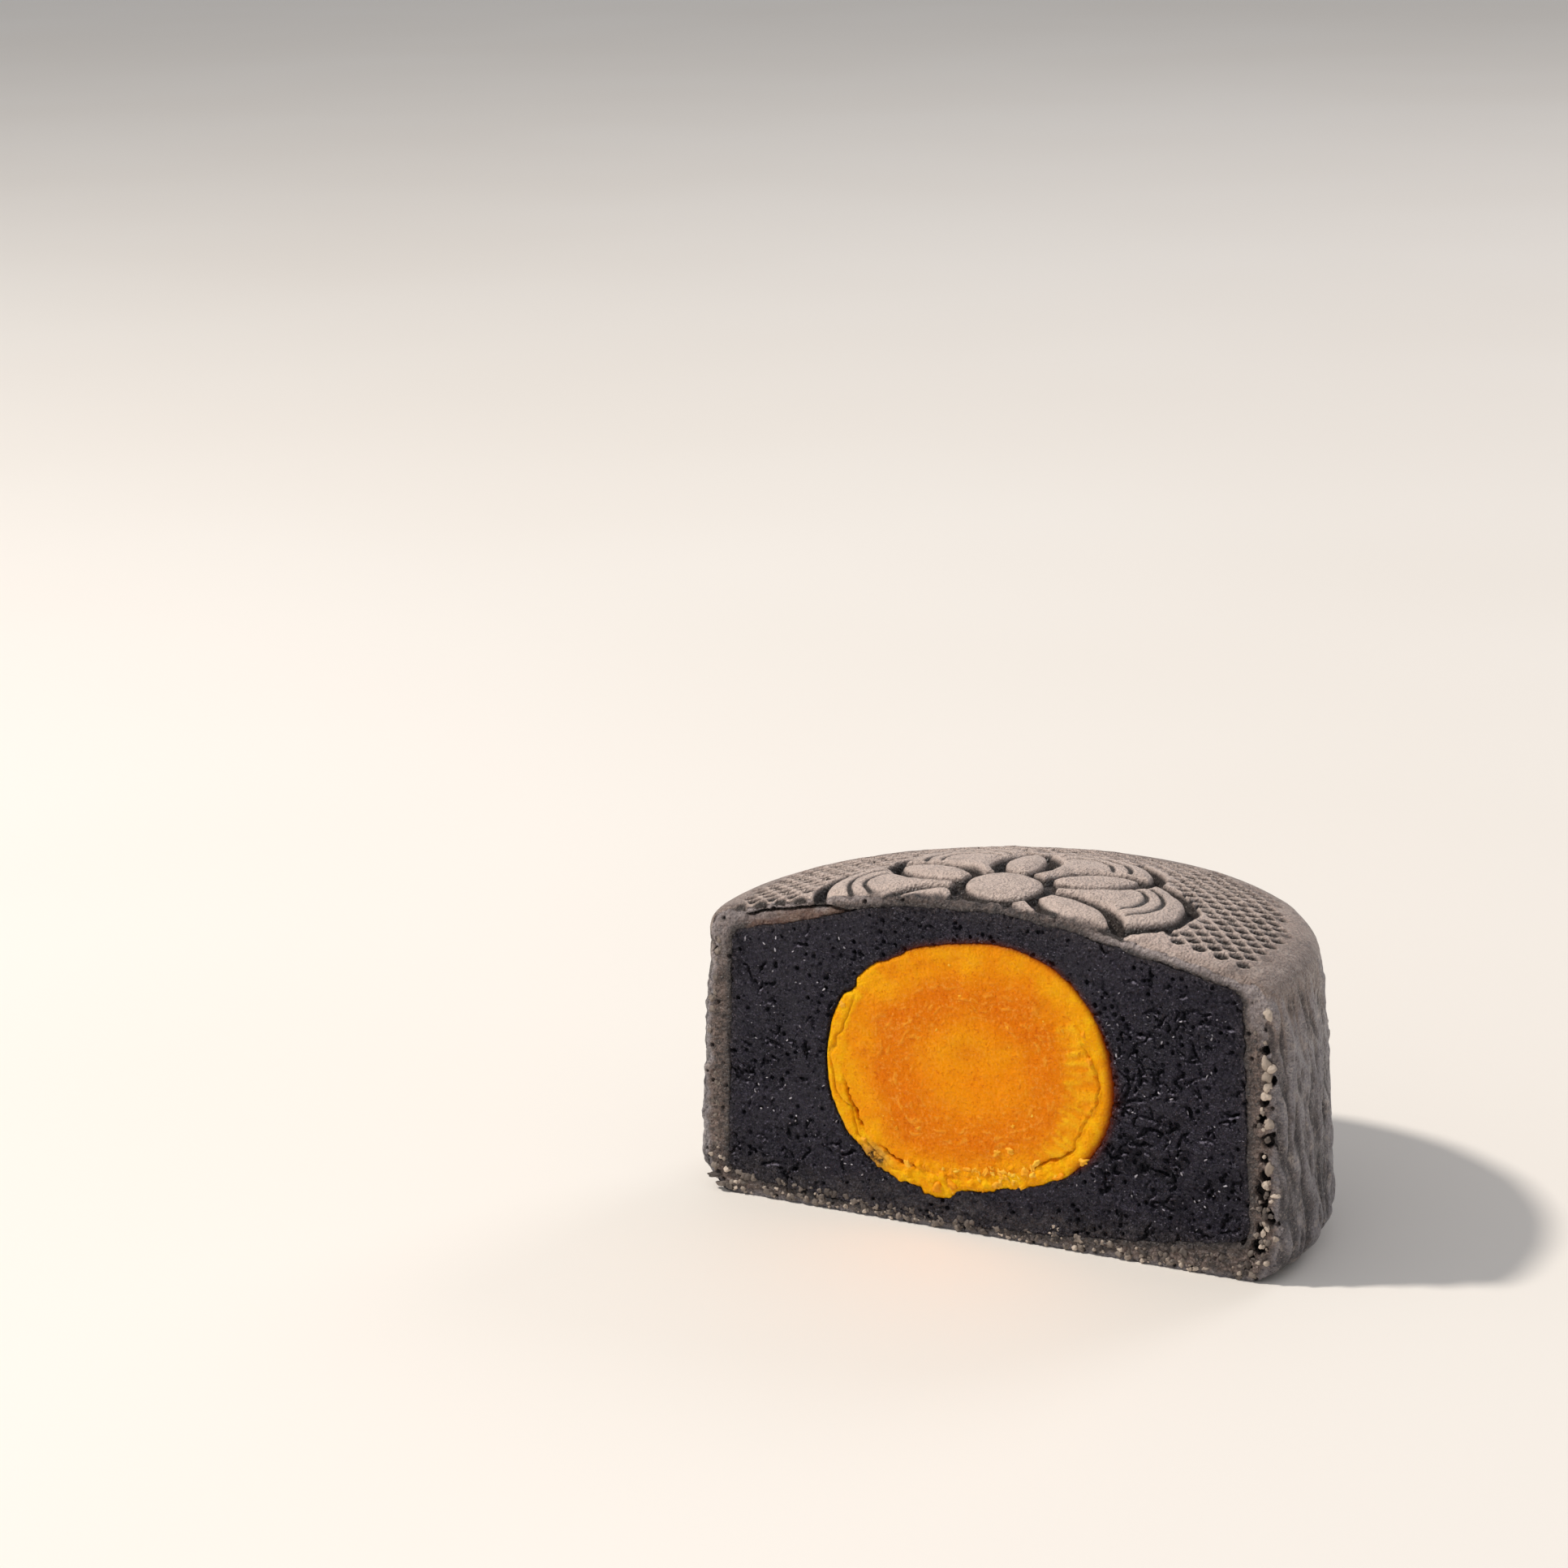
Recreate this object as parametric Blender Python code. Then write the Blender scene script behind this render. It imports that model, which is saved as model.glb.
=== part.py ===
"""A small round mooncake with about two fifths cut away, standing on its base.

The dark crust is an open shell round the sesame filling, and the filling holds a salted egg yolk.
Units are metres. The cut runs along X and faces -Y, the round back faces +Y, and Z is up.
The origin is at the bottom, in the middle of the outer box.
"""

import math

import bmesh
import bpy
from mathutils import Vector
from mathutils.geometry import delaunay_2d_cdt

MM = 0.001

# The whole cake, as a disc about its own upright axis
CAKE_R = 31.0 * MM
CUT_OFFSET = 5.44 * MM  # from the axis forward to the cut
AXIS_Y = (CUT_OFFSET - CAKE_R) / 2
FOOT_ROUND = 3.58 * MM
WALL_TOP = 26.65 * MM
WALL_TAPER = 1.42 * MM  # how far the wall leans in on its way up
RIM_ROUND = 2.55 * MM
EDGE_SLOPE = math.radians(16.5)  # of the domed top where it meets the rim
EDGE_R = CAKE_R - WALL_TAPER - RIM_ROUND + RIM_ROUND * math.sin(EDGE_SLOPE)
EDGE_Z = WALL_TOP + RIM_ROUND * math.cos(EDGE_SLOPE)
DOME_RISE = EDGE_R * math.tan(EDGE_SLOPE) / 2
WALL_WAVE = 0.14 * MM  # depth of the bulges in the baked wall, in two kinds
SLOW_BULGES = 3  # round the whole wall
SLOW_TURN = 0.8
SLOW_PER_METRE = 70.0  # how fast they fade on the way up
SLOW_SHARE = 0.65  # of the depth
QUICK_BULGES = 7
QUICK_PER_METRE = 150.0

# The pressed top: six overlapping rings of groove on a field of small square pits
LOBES = 6
LOBE_R = 7.6 * MM
LOBE_FROM_AXIS = 10.2 * MM
LOBE_TURN = math.radians(11)
HUB_R = 4.4 * MM  # a round groove about the axis, where the lobes' grooves end
GROOVE_W = 2.0 * MM
GROOVE_DEPTH = 1.15 * MM
PANEL_PUFF = 0.3 * MM
PIT_PITCH = 1.5 * MM
PIT_DEPTH = 0.6 * MM
PIT_TURN = math.radians(45)
PIT_FIELD_R = 26.4 * MM
PIT_CLEAR = 0.3 * MM  # flat crust left between the pits and a groove or the cut

# The crust's thickness and the filling inside it
TOP_CRUST = 1.9 * MM
FILL_R = 28.3 * MM
FILL_TAPER = 1.4 * MM
FILL_CORNER = 1.5 * MM
BASE_CRUST = 1.0 * MM
BASE_RISE = 2.3 * MM  # more crust under the filling's outer edge
BASE_LEAN = 0.9 * MM  # and more at +X than at -X
GAP = 0.3 * MM  # between pieces that touch

# The yolk, seen on the cut as an ellipse that leans and is a little uneven
YOLK_X = -1.1 * MM
YOLK_Z = 16.3 * MM
YOLK_HALF_W = 15.45 * MM
YOLK_HALF_H = 12.45 * MM
YOLK_HALF_DEPTH = 13.5 * MM
YOLK_INSET = 2.0 * MM  # its widest section lies this far behind the cut
YOLK_LEAN = math.radians(13)
YOLK_WAVES = ((1, -0.020, -0.36), (3, 0.015, -1.24), (4, 0.026, -2.34))  # waves round the edge, size, phase
FACE_RINGS = (0.55, 0.25)  # rows on the yolk's cut face, as shares of its reach
SHELL_CRACK_AT = 0.87  # of the way from the yolk's middle to its edge
SHELL_CRACK_W = 0.035
SHELL_CRACK_DEPTH = 0.7 * MM
CRACK_SPANS = ((math.radians(222), math.radians(38)), (math.radians(330), math.radians(48)))
CRACK_FLATTENS = 1.4  # above 1, a crack is at its full depth over part of its span

# Colours
CRUST_COLOUR = (0.135, 0.108, 0.092)
FILLING_COLOUR = (0.014, 0.015, 0.02)
YOLK_COLOUR = (0.78, 0.27, 0.02)
CUTTER_COLOUR = (0.5, 0.5, 0.5)
CRUST_ROUGHNESS = 0.62
FILLING_ROUGHNESS = 0.5
YOLK_ROUGHNESS = 0.38

# Mesh steps
WALL_STEPS = 64
WALL_ROWS = 6
ROUND_ROWS = 3
GROOVE_STEPS = 36
FILL_STEPS = 64
YOLK_STEPS = 48
YOLK_ROWS = 8
SHARP_ANGLE = math.radians(35)


def new_object(name, bm, colour, roughness):
    """An object at the origin that holds this mesh, with a material of its own."""
    bmesh.ops.remove_doubles(bm, verts=bm.verts, dist=0.0005 * MM)
    bmesh.ops.recalc_face_normals(bm, faces=bm.faces)
    mesh = bpy.data.meshes.new(name)
    bm.to_mesh(mesh)
    bm.free()
    mesh.shade_smooth()
    mesh.set_sharp_from_angle(angle=SHARP_ANGLE)
    material = bpy.data.materials.new(name)
    material.use_nodes = True
    shader = material.node_tree.nodes["Principled BSDF"]
    shader.inputs["Base Color"].default_value = (*colour, 1.0)
    shader.inputs["Roughness"].default_value = roughness
    shader.inputs["Metallic"].default_value = 0.0
    mesh.materials.append(material)
    piece = bpy.data.objects.new(name, mesh)
    bpy.context.scene.collection.objects.link(piece)
    return piece


def cut_out(piece, cutter):
    """Takes the cutter's shape out of the piece, then removes the cutter."""
    modifier = piece.modifiers.new("cut", "BOOLEAN")
    modifier.operation = "DIFFERENCE"
    modifier.solver = "EXACT"
    modifier.object = cutter
    graph = bpy.context.evaluated_depsgraph_get()
    result = bpy.data.meshes.new_from_object(piece.evaluated_get(graph), depsgraph=graph)
    piece.modifiers.clear()
    piece.data = result
    result.shade_smooth()
    result.set_sharp_from_angle(angle=SHARP_ANGLE)
    bpy.data.objects.remove(cutter)


def skin(bm, rows, closed):
    """Quads between neighbouring rows of vertices, each row as long as the next."""
    for upper, lower in zip(rows, rows[1:]):
        count = len(upper)
        for i in range(count if closed else count - 1):
            j = (i + 1) % count
            bm.faces.new((upper[i], upper[j], lower[j], lower[i]))


def fan(bm, row, tip):
    """Triangles from a closed row to one tip."""
    for i, vertex in enumerate(row):
        bm.faces.new((vertex, row[(i + 1) % len(row)], tip))


def smooth_step(value):
    value = min(max(value, 0.0), 1.0)
    return value * value * (3 - 2 * value)


def wall_wave(angle, z):
    """How far the wall falls short of its full radius."""
    slow = math.sin(SLOW_BULGES * angle + SLOW_TURN) * math.cos(SLOW_PER_METRE * z)
    quick = math.sin(QUICK_BULGES * angle + QUICK_PER_METRE * z)
    mixed = SLOW_SHARE * slow + (1 - SLOW_SHARE) * quick
    return WALL_WAVE * (1 - mixed) * abs(math.sin(2 * angle))


def wall_profile():
    """(radius, height) from the edge of the domed top over the rim and down to the foot."""
    rim_r = CAKE_R - WALL_TAPER - RIM_ROUND
    rows = []
    for i in range(ROUND_ROWS + 1):
        turn = math.pi / 2 - EDGE_SLOPE - (math.pi / 2 - EDGE_SLOPE) * i / ROUND_ROWS
        rows.append((rim_r + RIM_ROUND * math.cos(turn), WALL_TOP + RIM_ROUND * math.sin(turn)))
    for i in range(1, WALL_ROWS):
        share = 1 - i / WALL_ROWS
        height = FOOT_ROUND + (WALL_TOP - FOOT_ROUND) * share
        rows.append((CAKE_R - WALL_TAPER * share**1.5, height))
    for i in range(ROUND_ROWS + 1):
        turn = math.pi / 2 * i / ROUND_ROWS
        radius = CAKE_R - FOOT_ROUND + FOOT_ROUND * math.cos(turn)
        rows.append((radius, FOOT_ROUND - FOOT_ROUND * math.sin(turn)))
    return rows


def ring(radius, z):
    """Points round the cake's axis at one height, from the cut's +X end to its -X end."""
    start = math.asin(-CUT_OFFSET / radius)
    points = []
    for i in range(WALL_STEPS + 1):
        angle = start + (math.pi - 2 * start) * i / WALL_STEPS
        reach = radius - wall_wave(angle, z)
        x, y = reach * math.cos(angle), reach * math.sin(angle)
        if i in (0, WALL_STEPS):
            x, y = math.copysign(math.sqrt(reach**2 - CUT_OFFSET**2), x), -CUT_OFFSET
        points.append((x, y))
    return points


def lobe_centres():
    turns = [LOBE_TURN + 2 * math.pi * i / LOBES for i in range(LOBES)]
    return [(LOBE_FROM_AXIS * math.cos(t), LOBE_FROM_AXIS * math.sin(t)) for t in turns]


def groove_distance(x, y):
    """Distance to the middle of the nearest groove."""
    radius = math.hypot(x, y)
    off = abs(radius - HUB_R)
    if radius > HUB_R:
        off = min(off, *(abs(math.hypot(x - cx, y - cy) - LOBE_R) for cx, cy in lobe_centres()))
    return off


def in_medallion(x, y):
    circles = [(0.0, 0.0, HUB_R), *((cx, cy, LOBE_R) for cx, cy in lobe_centres())]
    return any(math.hypot(x - cx, y - cy) < radius for cx, cy, radius in circles)


def top_height(x, y):
    """Height of the pressed top, with grooves and puffed panels and without the pits."""
    radius = math.hypot(x, y)
    height = EDGE_Z + DOME_RISE * (1 - (radius / EDGE_R) ** 2)
    off = groove_distance(x, y)
    if off < GROOVE_W / 2:
        return height - GROOVE_DEPTH * (1 - (2 * off / GROOVE_W) ** 2)
    if in_medallion(x, y):
        return height + PANEL_PUFF * smooth_step((off - GROOVE_W / 2) / GROOVE_W)
    return height


def pit_cells():
    """(four corners, centre) of each pit that fits between the medallion, the rim and the cut."""
    side_x = Vector((math.cos(PIT_TURN), math.sin(PIT_TURN))) * PIT_PITCH
    side_y = Vector((-math.sin(PIT_TURN), math.cos(PIT_TURN))) * PIT_PITCH
    reach = int(CAKE_R / PIT_PITCH) + 1
    cells = []
    for i in range(-reach, reach):
        for j in range(-reach, reach):
            corners = [side_x * (i + a) + side_y * (j + b) for a, b in ((0, 0), (1, 0), (1, 1), (0, 1))]
            if all(is_pit_field(*corner) for corner in corners):
                cells.append((corners, (corners[0] + corners[2]) / 2))
    return cells


def is_pit_field(x, y):
    if math.hypot(x, y) > PIT_FIELD_R or y < PIT_CLEAR - CUT_OFFSET:
        return False
    return not in_medallion(x, y) and groove_distance(x, y) > GROOVE_W / 2 + PIT_CLEAR


class Plan:
    """Points and edges of the top seen from above, each point kept once."""

    def __init__(self):
        self.points = []
        self.index = {}
        self.edges = []

    def add(self, x, y):
        key = (round(x / MM, 4), round(y / MM, 4))
        if key not in self.index:
            self.index[key] = len(self.points)
            self.points.append(Vector(key))
        return self.index[key]

    def line(self, places):
        ids = [self.add(x, y) for x, y in places]
        self.edges += [(a, b) for a, b in zip(ids, ids[1:]) if a != b]


def groove_lines(plan):
    """The middle and both lips of each round groove, those of the lobes only outside the hub."""
    turns = [2 * math.pi * i / GROOVE_STEPS for i in range(GROOVE_STEPS + 1)]
    circles = [(0.0, 0.0, HUB_R), *((cx, cy, LOBE_R) for cx, cy in lobe_centres())]
    for cx, cy, middle_r in circles:
        for radius in (middle_r - GROOVE_W / 2, middle_r, middle_r + GROOVE_W / 2):
            places = [(cx + radius * math.cos(t), cy + radius * math.sin(t)) for t in turns]
            for pair in zip(places, places[1:]):
                if middle_r == HUB_R or all(math.hypot(*place) > HUB_R for place in pair):
                    plan.line(pair)


def panel_points(plan):
    """A loose grid of points that lets the panels between the grooves swell."""
    step = GROOVE_W
    reach = int((LOBE_FROM_AXIS + LOBE_R) / step)
    for i in range(-reach, reach + 1):
        for j in range(-reach, reach + 1):
            x, y = (i + 0.5 * (j % 2)) * step, j * step
            if y > PIT_CLEAR - CUT_OFFSET and in_medallion(x, y):
                if groove_distance(x, y) > GROOVE_W / 2 + PIT_CLEAR:
                    plan.add(x, y)


def top_surface(bm, outline):
    """Triangulates the top inside its outline, gives it height and returns the cut edge's vertices."""
    plan = Plan()
    border = [plan.add(x, y) for x, y in outline]
    groove_lines(plan)
    panel_points(plan)
    pits = set()
    for corners, centre in pit_cells():
        plan.line([*corners, corners[0]])
        pits.add(plan.add(*centre))
    points, _, faces, origins, _, inside = delaunay_2d_cdt(plan.points, plan.edges, [border], 0, 1e-4)
    vertices = {}
    for face, parents in zip(faces, inside):
        if not parents:
            continue
        for i in face:
            if i not in vertices:
                x, y = points[i] * MM
                sunk = PIT_DEPTH if pits.intersection(origins[i]) else 0.0
                vertices[i] = bm.verts.new((x, y + AXIS_Y, top_height(x, y) - sunk))
        bm.faces.new([vertices[i] for i in face])
    cut_edge = [v for v in vertices.values() if abs(v.co.y - AXIS_Y + CUT_OFFSET) < 0.001 * MM]
    return sorted(cut_edge, key=lambda v: v.co.x)


def outer_solid():
    """The cut cake's whole outer form as one solid."""
    bm = bmesh.new()
    profile = wall_profile()
    cut_edge = top_surface(bm, ring(*profile[0]))
    rows = []
    for radius, z in profile:
        if rows:
            rows.append([bm.verts.new((x, y + AXIS_Y, z)) for x, y in ring(radius, z)])
        else:
            rows.append([bm.verts.new((x, y + AXIS_Y, top_height(x, y))) for x, y in ring(radius, z)])
    skin(bm, rows, closed=False)
    bm.faces.new(rows[-1])
    right = [row[0] for row in rows]
    left = [row[-1] for row in rows]
    bm.faces.new([*cut_edge[1:-1], *right, *reversed(left)])
    return new_object("crust", bm, CRUST_COLOUR, CRUST_ROUGHNESS)


def fill_floor(x, radius):
    """Height of the filling's underside: lowest near the middle, higher towards the sides."""
    share = radius / FILL_R
    return BASE_CRUST + BASE_RISE * share**2 + BASE_LEAN * x / FILL_R


def fill_profile():
    """(radius, height, share of the floor) down the outside of the filling."""
    top_r = FILL_R - FILL_TAPER
    roof = []
    for i in range(1, 4):
        roof.append((top_r - FILL_CORNER) * i / 4)
    rows = [(r, EDGE_Z + DOME_RISE * (1 - (r / EDGE_R) ** 2) - TOP_CRUST, 0.0) for r in roof]
    corner_r = top_r - FILL_CORNER
    corner_z = EDGE_Z + DOME_RISE * (1 - (corner_r / EDGE_R) ** 2) - TOP_CRUST - FILL_CORNER
    for i in range(ROUND_ROWS + 1):
        turn = math.pi / 2 - math.pi / 2 * i / ROUND_ROWS
        rows.append((corner_r + FILL_CORNER * math.cos(turn), corner_z + FILL_CORNER * math.sin(turn), 0.0))
    for i in range(1, WALL_ROWS):
        share = 1 - i / WALL_ROWS
        height = FILL_CORNER + (corner_z - FILL_CORNER) * share
        rows.append((FILL_R - FILL_TAPER * share, height, 1 - share))
    for i in range(ROUND_ROWS + 1):
        turn = math.pi / 2 * i / ROUND_ROWS
        radius = FILL_R - FILL_CORNER + FILL_CORNER * math.cos(turn)
        rows.append((radius, FILL_CORNER - FILL_CORNER * math.sin(turn), 1.0))
    rows += [(r, 0.0, 1.0) for r in reversed(roof)]
    return rows


def filling_body(name, inward):
    """The filling of the whole cake, drawn in on every side by some distance."""
    bm = bmesh.new()
    profile = fill_profile()
    rows = []
    for index, (radius, height, floor_share) in enumerate(profile):
        lift = inward * (1 if index >= len(profile) // 2 else -1)
        row = []
        for i in range(FILL_STEPS):
            angle = 2 * math.pi * i / FILL_STEPS
            reach = max(radius - inward - wall_wave(angle, height), 0.0)
            x, y = reach * math.cos(angle), reach * math.sin(angle)
            z = height + lift + floor_share * fill_floor(x, reach)
            row.append(bm.verts.new((x, y + AXIS_Y, z)))
        rows.append(row)
    skin(bm, rows, closed=True)
    top = EDGE_Z + DOME_RISE - TOP_CRUST - inward
    fan(bm, rows[0], bm.verts.new((0, AXIS_Y, top)))
    fan(bm, rows[-1], bm.verts.new((0, AXIS_Y, BASE_CRUST + inward)))
    return new_object(name, bm, FILLING_COLOUR, FILLING_ROUGHNESS)


def front_block():
    """A box that holds everything in front of the cut."""
    bm = bmesh.new()
    side = 4 * CAKE_R
    bmesh.ops.create_cube(bm, size=side)
    bmesh.ops.translate(bm, verts=bm.verts, vec=(0, AXIS_Y - CUT_OFFSET - side / 2, 0))
    return new_object("front_block", bm, CUTTER_COLOUR, FILLING_ROUGHNESS)


def yolk_reach(angle):
    """Distance from the yolk's middle to its edge on the cut, by direction."""
    turned = angle - YOLK_LEAN
    ellipse = 1 / math.hypot(math.cos(turned) / YOLK_HALF_W, math.sin(turned) / YOLK_HALF_H)
    return ellipse * (1 + sum(size * math.cos(count * angle - phase) for count, size, phase in YOLK_WAVES))


def yolk_row(bm, share, depth, grow=0.0):
    """A closed row of points, at a share of the yolk's section and some way behind the cut."""
    row = []
    for i in range(YOLK_STEPS):
        angle = 2 * math.pi * i / YOLK_STEPS
        reach = yolk_reach(angle) * share + grow
        x = YOLK_X + reach * math.cos(angle)
        z = YOLK_Z + reach * math.sin(angle)
        y = AXIS_Y - CUT_OFFSET + (depth(angle) if callable(depth) else depth)
        row.append(bm.verts.new((x, y, z)))
    return row


def bulge_rows(bm, start, grow):
    """Rows over the rounded back of the yolk, from an angle of latitude to its tip."""
    rows = []
    deep = YOLK_HALF_DEPTH + grow
    widest = math.cos(math.asin(YOLK_INSET / YOLK_HALF_DEPTH))
    for i in range(YOLK_ROWS):
        turn = start + (math.pi / 2 - start) * i / YOLK_ROWS
        share = math.cos(turn) / widest
        rows.append(yolk_row(bm, share, YOLK_INSET + deep * math.sin(turn), grow * math.cos(turn)))
    tip = bm.verts.new((YOLK_X, AXIS_Y - CUT_OFFSET + YOLK_INSET + deep, YOLK_Z))
    skin(bm, rows, closed=True)
    fan(bm, rows[-1], tip)
    return rows


def yolk_pocket():
    """The hollow in the filling, a little larger than the yolk and open at the cut."""
    bm = bmesh.new()
    rows = bulge_rows(bm, -math.asin(YOLK_INSET / YOLK_HALF_DEPTH), GAP)
    front = yolk_row(bm, 1.0, -YOLK_INSET, GAP)
    skin(bm, [front, rows[0]], closed=True)
    bm.faces.new(front)
    return new_object("yolk_pocket", bm, CUTTER_COLOUR, FILLING_ROUGHNESS)


def crack_depth(angle):
    """The crack under the yolk's outer skin, open along two stretches of its edge."""
    deepest = 0.0
    for middle, half_span in CRACK_SPANS:
        off = abs((angle - middle + math.pi) % (2 * math.pi) - math.pi)
        deepest = max(deepest, smooth_step(CRACK_FLATTENS * (1 - off / half_span)))
    return SHELL_CRACK_DEPTH * deepest


def yolk():
    """The cut yolk, its face on the cut and its back rounded."""
    bm = bmesh.new()
    back = bulge_rows(bm, -math.asin(YOLK_INSET / YOLK_HALF_DEPTH), 0.0)
    face = [back[0]]
    face.append(yolk_row(bm, SHELL_CRACK_AT + SHELL_CRACK_W, 0.0))
    face.append(yolk_row(bm, SHELL_CRACK_AT, crack_depth))
    for share in (SHELL_CRACK_AT - SHELL_CRACK_W, *FACE_RINGS):
        face.append(yolk_row(bm, share, 0.0))
    skin(bm, face, closed=True)
    fan(bm, face[-1], bm.verts.new((YOLK_X, AXIS_Y - CUT_OFFSET, YOLK_Z)))
    return new_object("egg_yolk", bm, YOLK_COLOUR, YOLK_ROUGHNESS)


def main():
    for old in list(bpy.data.objects):
        bpy.data.objects.remove(old)
    crust = outer_solid()
    cut_out(crust, filling_body("fill_pocket", 0.0))
    filling = filling_body("sesame_filling", GAP)
    cut_out(filling, front_block())
    cut_out(filling, yolk_pocket())
    yolk()


main()
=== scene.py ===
"""Looks of a cut black sesame mooncake: baked crust, sesame filling, salted egg yolk and loose crumbs.

Shapes are worked out in millimetres about the whole cake's upright axis, and become metres in the
frame's own axes when a piece is made. The cut faces -Y.
"""

import math

import bmesh
import bpy
import numpy as np
from mathutils import Matrix, Vector
from mathutils.geometry import delaunay_2d_cdt
from mathutils.kdtree import KDTree


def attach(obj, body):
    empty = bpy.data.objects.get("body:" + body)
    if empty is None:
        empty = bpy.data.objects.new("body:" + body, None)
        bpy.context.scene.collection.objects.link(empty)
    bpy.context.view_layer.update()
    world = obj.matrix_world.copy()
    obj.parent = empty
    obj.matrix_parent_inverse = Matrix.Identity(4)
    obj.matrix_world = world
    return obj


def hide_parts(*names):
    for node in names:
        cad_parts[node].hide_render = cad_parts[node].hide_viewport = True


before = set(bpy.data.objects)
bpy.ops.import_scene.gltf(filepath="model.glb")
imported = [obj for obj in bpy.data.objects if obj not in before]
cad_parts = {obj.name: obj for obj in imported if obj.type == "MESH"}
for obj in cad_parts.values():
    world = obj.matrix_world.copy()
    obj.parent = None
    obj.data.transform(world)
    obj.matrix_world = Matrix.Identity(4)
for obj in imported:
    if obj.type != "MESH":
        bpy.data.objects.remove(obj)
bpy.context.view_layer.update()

MM = 0.001

# The whole cake, with the values of the solids
CAKE_R = 31.0
CUT = 5.44  # from the axis forward to the cut
AXIS_Y = (CUT - CAKE_R) / 2
FOOT_ROUND = 3.58
WALL_TOP = 26.65
WALL_TAPER = 1.42
RIM_ROUND = 2.55
EDGE_SLOPE = math.radians(16.5)
EDGE_R = CAKE_R - WALL_TAPER - RIM_ROUND + RIM_ROUND * math.sin(EDGE_SLOPE)
EDGE_Z = WALL_TOP + RIM_ROUND * math.cos(EDGE_SLOPE)
DOME_RISE = EDGE_R * math.tan(EDGE_SLOPE) / 2
WALL_WAVE = 0.14

# The pressed top
LOBES = 6
LOBE_R = 7.6
LOBE_FROM_AXIS = 10.2
LOBE_TURN = math.radians(11)
HUB_R = 4.4
GROOVE_HALF_W = 0.6
GROOVE_DEPTH = 1.25
PANEL_PUFF = 0.45
VEINS = (3.3, 4.9)  # radii of the thin arcs in the outer part of each lobe
VEINS_FROM = 11.6
VEIN_DEPTH = 0.32
PIT_PITCH = 1.5
PIT_DEPTH = 0.85
PIT_TURN = math.radians(45)
PIT_FIELD_R = 27.3

# The filling and the seam round it, as the cut shows them
FILL_R = 28.2
SEAM_SIDE = 26.35
SEAM_SPREAD = 1.1  # how much wider the filling is at its foot
SEAM_CORNER = 1.3
TOP_CRUST = (  # x along the cut, and the crust's thickness there
    (-26, 2.3), (-19, 2.45), (-15, 1.95), (-11, 1.3), (-2, 0.85), (8, 0.9), (16, 1.9), (21, 1.7), (26, 1.0))
THIN_CRUST = 0.5  # least crust under a groove
BASE_CRUST = 0.95
BASE_RISE = 2.3
BASE_LEAN = 0.9
SEAM_GAP = 0.014
FACE_MIDDLE = 15.5  # height from which the seam is drawn outwards
CROWN_X = 0.5  # middle of the torn stretch of the upper edge
CROWN_ENDS = (15, 9)  # from that middle, where the tearing starts and where it is full
CROWN_HEIGHTS = (20, 24)

# Holes in the crust's cut face: the row at the right, and x and z of the smaller ones
VOID_ROW_X = 28.7
SMALL_VOIDS = (
    (27.5, 2.6), (26.7, 4.2), (26.6, 6.9), (26.7, 9.3),
    (28.4, 3.4), (27.3, 1.6), (-28.2, 24.6), (-12.5, 30.3))

# The yolk
YOLK_X = -1.1
YOLK_Z = 16.3
YOLK_HALF_W = 15.45
YOLK_HALF_H = 12.45
YOLK_HALF_DEPTH = 13.5
YOLK_INSET = 2.0
YOLK_LEAN = math.radians(13)
YOLK_WAVES = ((1, -0.020, -0.36), (3, 0.015, -1.24), (4, 0.026, -2.34))
SHELL_AT = 0.87
SHELL_CRACKS = (  # middle and half span in degrees, and depth
    (203, 12, 1.0), (232, 10, 1.0), (318, 16, 0.45), (354, 34, 0.22))

# Tears in the filling, and where they gather, as x, z and the spread of each
TEARS = 320
TEAR_SPOTS = ((19, 9.5, 5.0, 4.5), (-20, 12, 5, 8), (2, 16, 18, 10), (17, 19, 4, 5))
LIP_SHIFT = (-0.05, 0.22)  # from a tear's lit lip to its middle

# Mesh steps
TOP_STEP = PIT_PITCH / 7
WALL_STEP = 0.32
FACE_STEP = 0.13
EDGE_STEP = 0.16
BASE_STEP = 0.8
HIDDEN_ROWS = 7
RIM_ROWS = 14
FOOT_ROWS = 22
CAP_STEP = 2.5
EDGE_CLEAR = 0.65  # share of a step kept free of inner points along an outline
WALL_SPAN = 0.56  # share of the full circle that the wall goes round

# How many bits lie scattered on the cut
YOLK_FLAKES = 34
YOLK_SPECKS = 26
BASE_GRAINS = ((30, -27, -8.5, 1.5), (12, -8.5, 7, 0.6), (42, 7, 27.5, 2.3))  # count, x from, x to, top
SIDE_GRAINS = 16
BASE_CRUMBS = 150
SIDE_CRUMBS = 70
GLINTS = 130


# Noise

def cell_random(cells, seed):
    """A number from 0 to 1 for each whole-numbered cell, the same each run."""
    c = cells.astype(np.int64).astype(np.uint32)
    h = c[..., 0] * np.uint32(0x8DA6B343) ^ c[..., 1] * np.uint32(0xD8163841)
    h ^= c[..., 2] * np.uint32(0xCB1AB31F) ^ np.uint32((seed * 0x9E3779B9) & 0xFFFFFFFF)
    for shift, factor in ((16, 0x7FEB352D), (15, 0x846CA68B)):
        h = (h ^ (h >> np.uint32(shift))) * np.uint32(factor)
    h ^= h >> np.uint32(16)
    return h / float(0xFFFFFFFF)


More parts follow.
